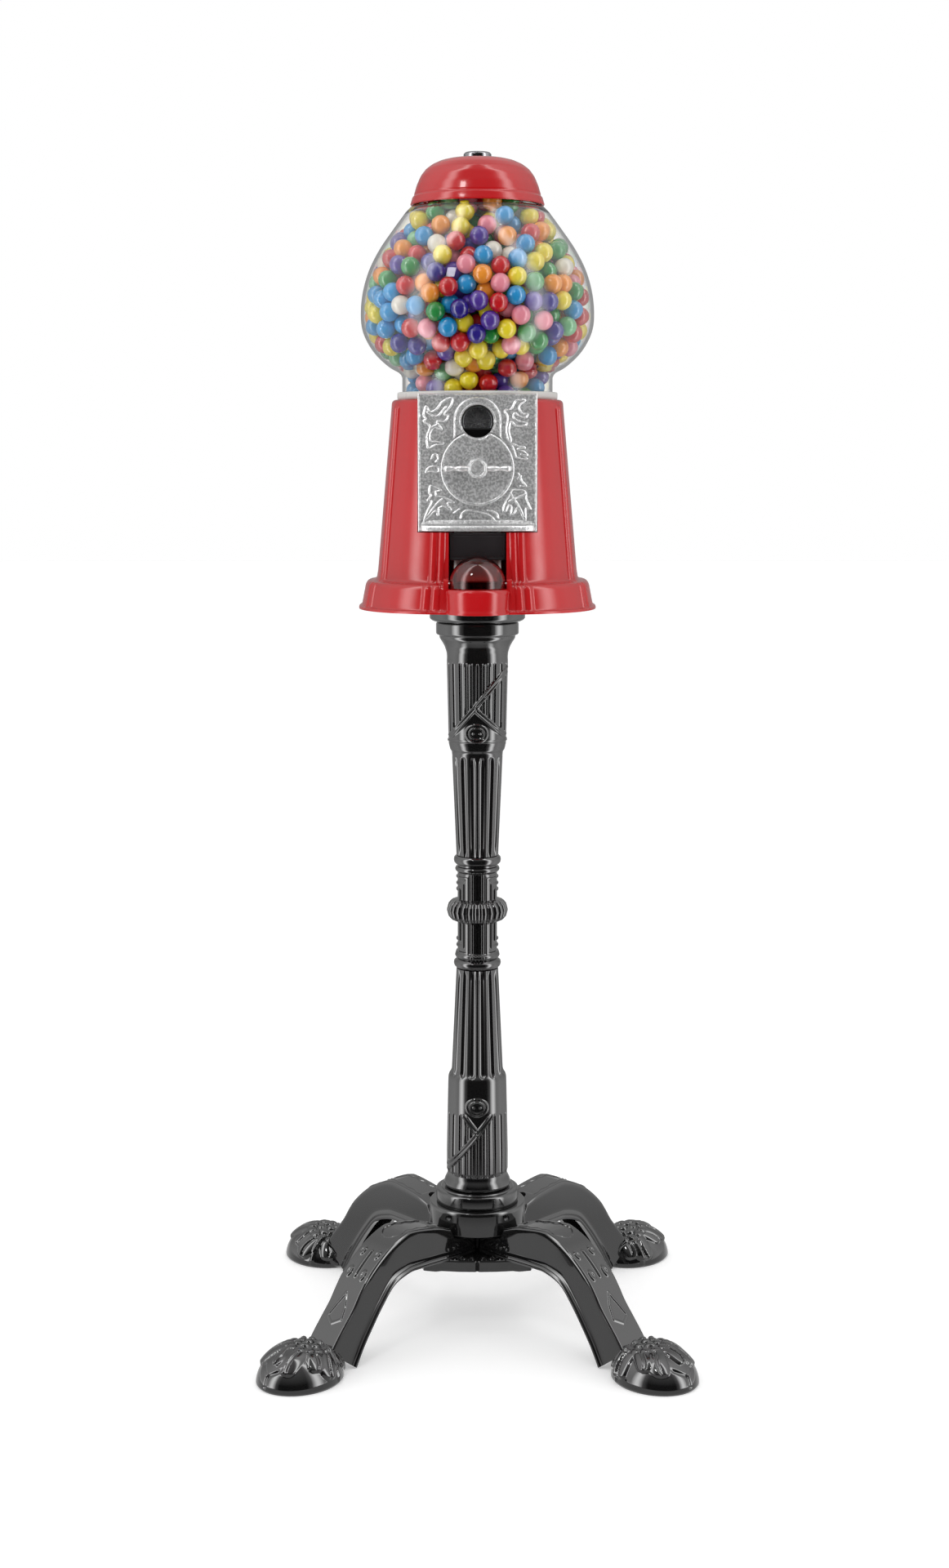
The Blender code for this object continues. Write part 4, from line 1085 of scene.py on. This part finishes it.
def plate_face(x, z):
    raised = np.zeros_like(x)
    for leaf in LEAVES:
        line = smooth_line(leaf, 4 * len(leaf), closed=True)
        near = outline_distance(x, z, np.concatenate([line, line[:1]]))
        sunk = np.where(inside_line(x, z, line), np.clip(near / 0.9, 0, 1), 0)
        raised = raised - 0.85 * sunk
        raised = np.maximum(raised, 0.75 * hump(near, 0.72) - 0.02)
    for vein in VEINS:
        near = outline_distance(x, z, smooth_line(vein, 5 * len(vein)))
        raised = np.maximum(raised, 0.75 * hump(near, 0.75))
    reach = np.hypot(x, z - WINDOW_Z)
    keyhole = np.where(z < WINDOW_Z, np.abs(x), reach)
    keyhole = np.where(z < 700, 99, keyhole)
    frame_top = 0.9 * bar(keyhole, 18.0, 1.0) + 0.5 * hump(keyhole - 17.6, 0.8)
    frame_top = frame_top + 0.07 * np.sin(reach * 2 * math.pi / 1.1) * (keyhole < 17)
    frame_top = frame_top + 0.35 * hump(reach - 13.2, 0.8)
    clear = np.hypot(x, z - KNOB_Z) > KNOB_R + 0.8
    raised = np.where(keyhole < 18.6, frame_top, raised)
    edge = np.minimum(PLATE_HALF - np.abs(x), PLATE_TOP - z)
    raised = raised + 0.45 * hump(edge - 0.9, 0.9) - 0.6 * np.clip(1 - edge / 0.5, 0, 1)
    return PLATE_FACE - np.where(clear, raised, 0)


def plate_lip():
    """The polished lip: a rounded ledge whose front edge is bowed and a little wavy."""
    slices = []
    for angle in np.linspace(-math.pi / 2, math.pi / 2, 121):
        x = 43.6 * math.sin(angle)
        depth = 0.8 + 12.2 * max(math.cos(angle), 0) ** 0.7 + 0.3 * math.cos(x * math.pi / 11)
        front = -65.0 - depth
        soft = min(1.0, depth / 3)
        slices.append([(x, y, z) for y, z in (
            (-64.6, 650.4), (front + 1.2 * soft, 650.4), (front + 0.4 * soft, 650.8),
            (front, 651.8), (front, 653.2), (front + 0.4 * soft, 654.2),
            (front + 1.3 * soft, 654.8), (-65 - depth * 0.7, 654.7), (-65 - depth * 0.42, 655.0),
            (-65 - depth * 0.2, 656.2), (-65.6, 659.6), (-64.6, 659.6))])
    points = np.array(slices)
    return mesh_of("lip", points.reshape(-1, 3), capped_faces(*points.shape[:2]))


def make_front_plate():
    xs = np.linspace(-PLATE_HALF, PLATE_HALF, 230)
    zs = np.linspace(PLATE_BOTTOM, PLATE_TOP, 262)
    holes = [(0, WINDOW_Z, WINDOW_R), (0, KNOB_Z, 6.3)]
    meshes = [relief_sheet("plate", xs, zs, plate_face, PLATE_BACK, holes), plate_lip()]
    for side in (-1, 1):
        low, high = sorted((side * (PLATE_HALF - 2.5), side * PLATE_HALF))
        meshes.append(block((low, PLATE_BACK, PLATE_BOTTOM), (high, -57.2, 749.9)))
    put_in("leaf_plate", join_meshes("leaf_plate", meshes), die_cast, "machine", "die_cast",
           "front_plate")


make_front_plate()

# ---- Turn knob and coin ------------------------------------------------------------------------
# The knob is one zinc casting: a stippled disc with a bead round its rim and a bite for the
# window, a plain boss, and a grip bar with two swellings on each side. The coin behind the window
# stands in the pocket of the carrier, which turns with the knob.

KNOB_BACK = PLATE_FACE - 0.3
BITE_R = WINDOW_R + 0.8
COIN_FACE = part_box("coin")[0].y * 1000
ONTO_Y = Matrix.Rotation(math.pi / 2, 4, "X")


def disc_face(x, z):
    reach = np.hypot(x, z - KNOB_Z)
    bite = np.hypot(x, z - WINDOW_Z) - BITE_R
    raised = 4.2 - 0.022 * reach + 0.4 * hump(reach - 26.9, 0.95)
    raised = raised - 0.9 * np.clip((reach - 27.6) / 0.6, 0, 1) ** 2
    raised = raised + 0.35 * hump(bite - 0.9, 0.8) - 0.4 * hump(reach - 8.3, 1.0)
    return PLATE_FACE - raised


def grip_bar():
    slices = []
    for x in np.linspace(-26.7, 26.7, 161):
        away = abs(x)
        half = 1.2 + 1.0 * abs(math.cos(math.pi * (away - 11.3) / 11.6))
        end = math.sqrt(max(1 - (max(away - 23.2, 0) / 3.5) ** 2, 0.02))
        half *= end
        front = -69.6 - (9.6 + 0.4 * math.cos(math.pi * (away - 11.3) / 5.8)) * (0.35 + 0.65 * end)
        slices.append([(x, y, KNOB_Z + z) for y, z in (
            (-68.9, -half - 0.5), (-71.0, -half), (front + 1.6, -half), (front + 0.5, -0.72 * half),
            (front, 0), (front + 0.5, 0.72 * half), (front + 1.6, half), (-71.0, half),
            (-68.9, half + 0.5))])
    points = np.array(slices)
    return mesh_of("grip", points.reshape(-1, 3), capped_faces(*points.shape[:2]), 50)


def coin_front(x, z):
    """A plain token: raised rim, a ring of pearls and an eight-petalled rosette."""
    reach = np.hypot(x, z - WINDOW_Z)
    turn = np.arctan2(z - WINDOW_Z, x)
    raised = 0.28 * bar(reach - 11.4, 0.6, 0.3)
    pearl = np.hypot(((turn * 28 / (2 * math.pi)) % 1 - 0.5) * 2.1, reach - 9.6)
    raised = raised + 0.25 * np.sqrt(hump(pearl, 0.62))
    petal = 7.4 * np.abs(np.cos(turn * 4)) ** 0.6
    raised = raised + 0.3 * bar(reach, petal, 1.2) * (reach > 2.2)
    raised = raised + 0.35 * np.sqrt(hump(reach, 1.9))
    return COIN_FACE - raised * 0.9


def make_knob():
    disc = relief_sheet("disc", np.linspace(-KNOB_R - 0.2, KNOB_R + 0.2, 190),
                        np.linspace(KNOB_Z - KNOB_R - 0.2, KNOB_Z + KNOB_R + 0.2, 190),
                        disc_face, KNOB_BACK, [(0, WINDOW_Z, BITE_R)], (0, KNOB_Z, KNOB_R))
    boss = turned("boss", rounded([
        (0, 14.5), (5.3, 14.5), (5.7, 14.9), (6.5, 14.9), (7.1, 14.1), (7.2, 4.4), (7.8, 3.4),
        (0, 3.4)], 0.4, 3), [], 72)
    placed(boss, ONTO_Y, moved(0, PLATE_FACE, KNOB_Z))
    put_in("cast_knob", join_meshes("cast_knob", [disc, boss, grip_bar()]), die_cast, "knob",
           "die_cast", "turn_knob")


def make_coin():
    coin_mesh = relief_sheet("token", np.linspace(-12.1, 12.1, 130),
                             np.linspace(WINDOW_Z - 12.1, WINDOW_Z + 12.1, 130), coin_front,
                             COIN_FACE + 1.8, [], (0, WINDOW_Z, 12.0))
    token = bare_metal("worn_token", (0.33, 0.33, 0.34, 1), (0.07, 0.07, 0.075, 1),
                       (0.62, 0.62, 0.63, 1), 700.0, 0.42, 0.25, (0.2, 0.0002))
    put_in("token", coin_mesh, token, "knob", "die_cast", "coin")
    # The pocket's lip is steel, but it takes the black enamel: its black is painted shade, the dark
    # band under the coin in the lower part of the window.
    pocket_face = COIN_FACE - 1.6
    lip = relief_sheet("pocket", np.linspace(-12.6, 12.6, 90), np.linspace(716, 728.4, 46),
                       lambda x, z: pocket_face + 0 * x + 0.3 * hump(z - 728.4, 0.9),
                       COIN_FACE - 0.4, [(0, KNOB_Z, 18.5)])
    put_in("coin_pocket_lip_painted_shade", lip, black_enamel, "knob", "steel")


make_knob()
make_coin()

# ---- Chute shield and flap ---------------------------------------------------------------------
# The passage under the plate is closed by a shield whose near-black colour is painted shade, the
# dark of the recess above the flap; a clear moulded flap, a quarter of a hollow ball with a thicker
# rim, swings up on two pins so that fingers reach the cup. The flap's dark red tint is painted
# reflection.

FLAP_Z = 611.0
FLAP_R = 21.2
FLAP_SKIN = 1.3


def see_through(name, tint, roughness, ior, ripple):
    """A clear material that lets shadows pass; its faint ripple is (scale, depth in metres)."""
    material, tree, shader, output = blank_material(name)
    shader.inputs["Base Color"].default_value = (*tint, 1)
    shader.inputs["Transmission Weight"].default_value = 1.0
    shader.inputs["IOR"].default_value = ior
    smear = span(tree, noise_value(tree, 35.0, 4.0), 0.35, 0.75, roughness[0], roughness[1])
    tree.links.new(smear, shader.inputs["Roughness"])
    relief = put(tree, "ShaderNodeBump", Strength=0.3, Distance=ripple[1])
    tree.links.new(noise_value(tree, ripple[0]), relief.inputs["Height"])
    tree.links.new(relief.outputs["Normal"], shader.inputs["Normal"])
    clear = put(tree, "ShaderNodeBsdfTransparent")
    clear.inputs["Color"].default_value = (*[0.3 + 0.7 * c for c in tint], 1)
    ray = put(tree, "ShaderNodeLightPath")
    either = put(tree, "ShaderNodeMixShader")
    tree.links.new(ray.outputs["Is Shadow Ray"], either.inputs[0])
    tree.links.new(shader.outputs["BSDF"], either.inputs[1])
    tree.links.new(clear.outputs["BSDF"], either.inputs[2])
    tree.links.new(either.outputs["Shader"], output.inputs["Surface"])
    return material


# The flap is clear plastic; its dark red tint is painted reflection, standing for the red paint
# round and behind the cup seen in it.
clear_plastic = see_through("clear_plastic", (0.52, 0.07, 0.06), (0.0, 0.02), 1.46, (60, 0.00005))
# This plastic is near black as painted shade: it colours the shield so that the recess above the
# flap reads dark.
smoke_plastic = coated(
    "smoke_plastic", (0.018, 0.016, 0.017, 1), (0.026, 0.022, 0.024, 1), (0.06, 0.055, 0.06, 1),
    0.4, (0.08, 0.22), 260.0, (0.08, 0.0002), Coat_Weight=0.4, Coat_Roughness=0.08)


def make_flap():
    outer = [(FLAP_R * math.sin(a), FLAP_R * math.cos(a)) for a in np.linspace(0, math.pi, 61)]
    ball = turned("ball", outer, [], 96)
    room = FLAP_R - FLAP_SKIN
    inner = [(room * math.sin(a), room * math.cos(a)) for a in np.linspace(0, math.pi, 49)]
    dome = cut_or_add(ball, turned("room", inner, [], 80), "DIFFERENCE")
    rim = turned("rim", rounded([(room - 0.9, 1.0), (FLAP_R - 0.25, 1.0), (FLAP_R - 0.25, -1.2),
                                 (room - 0.9, -1.2)], 0.5, 3), [], 96)
    rim = placed(rim, moved(0, 0, -1.6))
    dome = cut_or_add(dome, rim, "UNION")
    dome = cut_or_add(dome, block((-40, -40, -40), (40, 40, -3.0)), "DIFFERENCE")
    dome = cut_or_add(dome, block((-40, 4.0, -40), (40, 40, 40)), "DIFFERENCE")
    pins = placed(round_bar(1.5, -40, 40, 32), Matrix.Rotation(math.pi / 2, 4, "Y"))
    dome = cut_or_add(dome, pins, "DIFFERENCE")
    dome.set_sharp_from_angle(angle=math.radians(35))
    put_in("clear_flap", placed(dome, moved(0, CUP_Y, FLAP_Z)), clear_plastic, "flap",
           "clear_plastic", "chute_flap")


def make_shield():
    low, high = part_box("chute_shield")
    bottom, top = low.z * 1000, high.z * 1000
    front = low.y * 1000

    def face(x, z):
        edge = np.minimum(low.x * -1000 - np.abs(x), np.minimum(z - bottom, top - z))
        return front + 0.7 * np.clip(1 - edge / 0.9, 0, 1) ** 2 + 0.25 * hump(edge - 2.2, 0.6)

    sheet = relief_sheet("shield", np.linspace(low.x * 1000, high.x * 1000, 120),
                         np.linspace(bottom, top, 60), face, high.y * 1000, [])
    put_in("shield_painted_shade", sheet, smoke_plastic, "machine", "smoke_plastic", "chute_shield")


make_shield()
make_flap()

# ---- Globe -------------------------------------------------------------------------------------
# A blown glass globe, about 3 mm thick, with a straight neck that stands in a pale ring on the
# body, and a screw-thread of shallow rings round its mouth under the lid.

GLASS = 2.2
GLOBE_SIDE = [
    (59.0, 768.0), (61.2, 771.6), (69.0, 776.0), (78.5, 784.4), (85.4, 793.8), (90.0, 804.6),
    (91.2, 817.0), (89.6, 833.0), (84.6, 850.0), (76.3, 866.0), (65.8, 881.0), (54.6, 896.0)]
GLOBE_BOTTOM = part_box("globe")[0].z * 1000
MOUTH_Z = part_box("globe")[1].z * 1000

glass = see_through("blown_glass", (0.99, 0.995, 0.99), (0.0, 0.004), 1.34, (30, 0.00003))
white_plastic = coated(
    "white_plastic", (0.72, 0.72, 0.70, 1), (0.66, 0.66, 0.63, 1), (0.8, 0.8, 0.78, 1), 0.3,
    (0.25, 0.4), 900.0, (0.12, 0.0001))


def set_in(line, depth):
    """The same line of (radius, z) points, moved towards the inside of the glass."""
    run = np.gradient(line, axis=0)
    run /= np.linalg.norm(run, axis=1)[:, None]
    return line + depth * np.stack([run[:, 1], -run[:, 0]], axis=-1)


def make_globe():
    bulge = smooth_line(GLOBE_SIDE[::-1], 64)
    neck = cut_fine([(59.0, 767.0), (59.0, GLOBE_BOTTOM + 0.8), (58.3, GLOBE_BOTTOM)], 3.0)
    mouth = [(45.2, MOUTH_Z), (46.4, MOUTH_Z - 0.5)]
    thread = [(46.5 + 0.5 * max(0, math.sin((MOUTH_Z - z) * 2 * math.pi / 2.4)), z)
              for z in np.arange(MOUTH_Z - 1, 900.4, -0.4)]
    outer = np.array([*mouth, *thread, (47.3, 900.2), (49.6, 898.9), (52.6, 897.6),
                      *bulge[1:], *neck])
    inner = set_in(np.array([(46.0, MOUTH_Z), (46.2, 901.0), (49.0, 898.6), (52.0, 897.2),
                             *bulge[1:], *neck[:-2], (59.0, GLOBE_BOTTOM)]), GLASS)
    inner[0, 1] = MOUTH_Z
    inner[-1, 1] = GLOBE_BOTTOM
    mesh = turned("globe", outer, inner[::-1], 160)
    put_in("blown_globe", mesh, glass, "machine", "glass", "globe")
    ring = turned("ring", rounded([
        (59.6, 756.5), (62.4, 756.5), (63.0, 755.7), (63.0, 752.4), (62.6, 750.8), (61.8, 750.8),
        (61.8, 753.6), (59.6, 753.6)], 0.4, 3), [], 160)
    put_in("neck_ring", ring, white_plastic, "machine", "white_plastic", "globe_collar")


make_globe()

# ---- Gumballs ----------------------------------------------------------------------------------
# About nine hundred 15 mm balls of candy-coated gum in ten colours, lying as they fell: packed
# against each other, the glass, the hopper below and the centre rod.

BALL_R = 7.4
ROD_ROOM = 3.4
PILE_LOW = 734.0
PILE_TOP = 901.0
GUM_COLOURS = {
    "yellow": ((0.90, 0.72, 0.02), 0.16), "green": ((0.015, 0.27, 0.05), 0.15),
    "sky": ((0.01, 0.30, 0.66), 0.12), "red": ((0.58, 0.008, 0.014), 0.12),
    "orange": ((0.92, 0.30, 0.01), 0.12), "indigo": ((0.022, 0.010, 0.24), 0.08),
    "violet": ((0.085, 0.035, 0.32), 0.06), "white": ((0.86, 0.80, 0.70), 0.10),
    "pink": ((0.86, 0.26, 0.34), 0.07), "mint": ((0.16, 0.50, 0.22), 0.02)}


def pile_walls():
    """The line that ball centres can reach, as heights and the widest radius at each."""
    bulge = smooth_line(GLOBE_SIDE[::-1], 64)
    side = set_in(np.array([(52.6, 897.6), *bulge[1:], (59.0, 762.0), (59.0, 754.0)]),
                  GLASS + BALL_R + 0.2)
    low = np.array([(46.0, 751.0), (40.0, 741.5), (36.5, 736.0), (36.5, 700.0)])
    line = np.concatenate([[(36.0, 925.0), (36.0, 903.0)], side, low])[::-1]
    return line[:, 1], line[:, 0]


def settled_balls(count=905):
    """Centres of the balls: dropped at random, then pushed apart and down until they rest."""
    chance = np.random.default_rng(11)
    heights, reaches = pile_walls()
    centres = np.zeros((0, 3))
    while len(centres) < count:
        tries = chance.uniform((-90, -90, PILE_LOW + BALL_R), (90, 90, PILE_TOP - 3), (4000, 3))
        room = np.interp(tries[:, 2], heights, reaches)
        reach = np.hypot(tries[:, 0], tries[:, 1])
        centres = np.concatenate([centres, tries[(reach < room) & (reach > ROD_ROOM + BALL_R)]])
    centres = centres[:count]
    slope = np.gradient(reaches, heights)
    steps = 220
    for step in range(steps):
        centres[:, 2] -= 0.02 if step > steps * 0.6 else 0.0
        gap = centres[:, None, :] - centres[None, :, :]
        apart = np.sqrt((gap ** 2).sum(-1))
        np.fill_diagonal(apart, 1e9)
        short = np.clip(2 * BALL_R + 0.1 - apart, 0, None)
        push = (gap * (short / np.maximum(apart, 1e-6))[..., None]).sum(1)
        touching = np.maximum((short > 0).sum(1), 1)
        centres += push * (0.45 / np.sqrt(touching))[:, None]
        reach = np.maximum(np.hypot(centres[:, 0], centres[:, 1]), 1e-6)
        over = reach - np.interp(centres[:, 2], heights, reaches)
        lean = np.interp(centres[:, 2], heights, slope)
        size = np.clip(over, 0, None) / (1 + lean ** 2)
        centres[:, 2] += size * lean
        scale = (reach - size) / reach
        centres[:, 0] *= scale
        centres[:, 1] *= scale
        inside = np.clip(ROD_ROOM + BALL_R - reach, 0, None) / reach
        centres[:, :2] *= (1 + inside)[:, None]
        centres[:, 2] = np.clip(centres[:, 2], PILE_LOW + BALL_R, PILE_TOP)
    return centres, chance


def make_gumballs():
    centres, chance = settled_balls()
    names = list(GUM_COLOURS)
    shares = np.array([share for _, share in GUM_COLOURS.values()])
    picks = chance.choice(len(names), size=len(centres), p=shares / shares.sum())
    bm = bmesh.new()
    bmesh.ops.create_icosphere(bm, subdivisions=3, radius=1.0)
    ball = np.array([vertex.co for vertex in bm.verts])
    corners = np.array([[vertex.index for vertex in face.verts] for face in bm.faces])
    bm.free()
    for number, name in enumerate(names):
        colour = GUM_COLOURS[name][0]
        spots = centres[picks == number]
        sizes = BALL_R * chance.uniform(0.985, 1.0, (len(spots), 3))
        points = spots[:, None, :] + ball[None] * sizes[:, None, :]
        faces = corners[None] + (np.arange(len(spots)) * len(ball))[:, None, None]
        mesh = bpy.data.meshes.new(f"gumballs_{name}")
        mesh.from_pydata((points.reshape(-1, 3) / 1000).tolist(), [], faces.reshape(-1, 3).tolist())
        mesh.shade_smooth()
        pale = tuple(min(1.0, c * 1.25 + 0.02) for c in colour)
        shell = coated(f"gum_shell_{name}", (*colour, 1), (*[c * 0.86 for c in colour], 1),
                       (*pale, 1), 0.2, (0.16, 0.28), 380.0, (0.08, 0.0001), Coat_Weight=0.6,
                       Coat_Roughness=0.06)
        replaced = ["gumball_fill"] if number == 0 else []
        put_in(f"gumballs_{name}", mesh, shell, "machine", "gum", *replaced)


make_gumballs()

# ---- Lid and lock ------------------------------------------------------------------------------
# A spun and painted lid with a rolled lip and a pressed line above it. The cap of its barrel lock,
# darkened chrome with a key slot, draws it down on the centre rod.

LID_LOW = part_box("lid")[0].z * 1000
LOCK_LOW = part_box("lid_lock")[0].z * 1000
TOTAL_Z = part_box("lid_lock")[1].z * 1000

dark_chrome = bare_metal(
    "dark_chrome", (0.20, 0.20, 0.21, 1), (0.05, 0.05, 0.052, 1), (0.6, 0.6, 0.62, 1), 500.0,
    0.22, 0.12, (0.08, 0.0001))


def make_lid():
    outer = rounded([
        (5.2, 934.6), (12.0, 935.0), (18.0, 935.0), (23.0, 934.6), (29.5, 933.0), (35.6, 930.2),
        (40.4, 926.6), (44.2, 921.6), (47.3, 914.6), (49.2, 908.2), (49.2, 907.4), (49.6, 906.4),
        (50.6, 905.6), (51.8, 901.6), (52.2, 900.4), (51.6, 899.6)], 1.6, 4)
    inner = [
        (50.4, LID_LOW), (50.0, 901.0), (47.8, 907.0), (45.2, 913.6), (42.0, 919.6), (38.6, 923.4),
        (34.6, 926.8), (29.0, 929.8), (23.0, 931.6), (5.2, 932.2)]
    put_in("painted_lid", turned("painted_lid", outer, inner, 160, sharp_degrees=50), red_enamel,
           "lid", "red_paint", "lid")


def make_lock():
    cap = turned("cap", rounded([
        (0, TOTAL_Z - 0.5), (7.6, TOTAL_Z - 0.5), (8.2, TOTAL_Z), (9.4, TOTAL_Z),
        (10.8, TOTAL_Z - 1.4), (10.8, LOCK_LOW + 8.3), (4.8, LOCK_LOW + 8.3), (4.8, LOCK_LOW),
        (0, LOCK_LOW)], 0.5, 3), [], 96)
    cap = cut_or_add(cap, block((-4.5, -0.8, TOTAL_Z - 1.9), (4.5, 0.8, TOTAL_Z + 4)), "DIFFERENCE")
    cap = cut_or_add(cap, round_bar(1.6, TOTAL_Z - 1.9, TOTAL_Z + 4, 32), "DIFFERENCE")
    cap.set_sharp_from_angle(angle=math.radians(40))
    put_in("lock_cap", cap, dark_chrome, "lock", "dark_chrome", "lid_lock")


make_lid()
make_lock()

# ---- Mechanism and fixings ---------------------------------------------------------------------
# What turns, carries and holds inside: zinc-plated steel rods, bolts and plates, a brass pawl,
# gear and bush, pale moulded wheel, hopper and chute, and black rubber gaskets.

steel = bare_metal(
    "zinc_steel", (0.56, 0.56, 0.57, 1), (0.30, 0.29, 0.28, 1), (0.8, 0.8, 0.8, 1), 420.0, 0.34,
    0.2, (0.12, 0.0001))
brass = bare_metal(
    "brass", (0.72, 0.50, 0.20, 1), (0.38, 0.24, 0.09, 1), (0.92, 0.72, 0.36, 1), 520.0, 0.32,
    0.18, (0.12, 0.0001))
rubber = coated(
    "rubber", (0.022, 0.022, 0.022, 1), (0.032, 0.031, 0.030, 1), (0.06, 0.06, 0.06, 1), 0.4,
    (0.55, 0.75), 1400.0, (0.3, 0.0001))
FINISHES = {
    "steel": steel, "brass": brass, "rubber": rubber, "white_plastic": white_plastic,
    "die_cast": die_cast, "black_paint": black_enamel, "red_paint": red_enamel,
    "smoke_plastic": smoke_plastic, "clear_plastic": clear_plastic, "dark_chrome": dark_chrome}

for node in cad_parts.values():
    for place in node.material_slots:
        place.material = FINISHES.get(place.material.name, place.material)

bpy.context.view_layer.update()
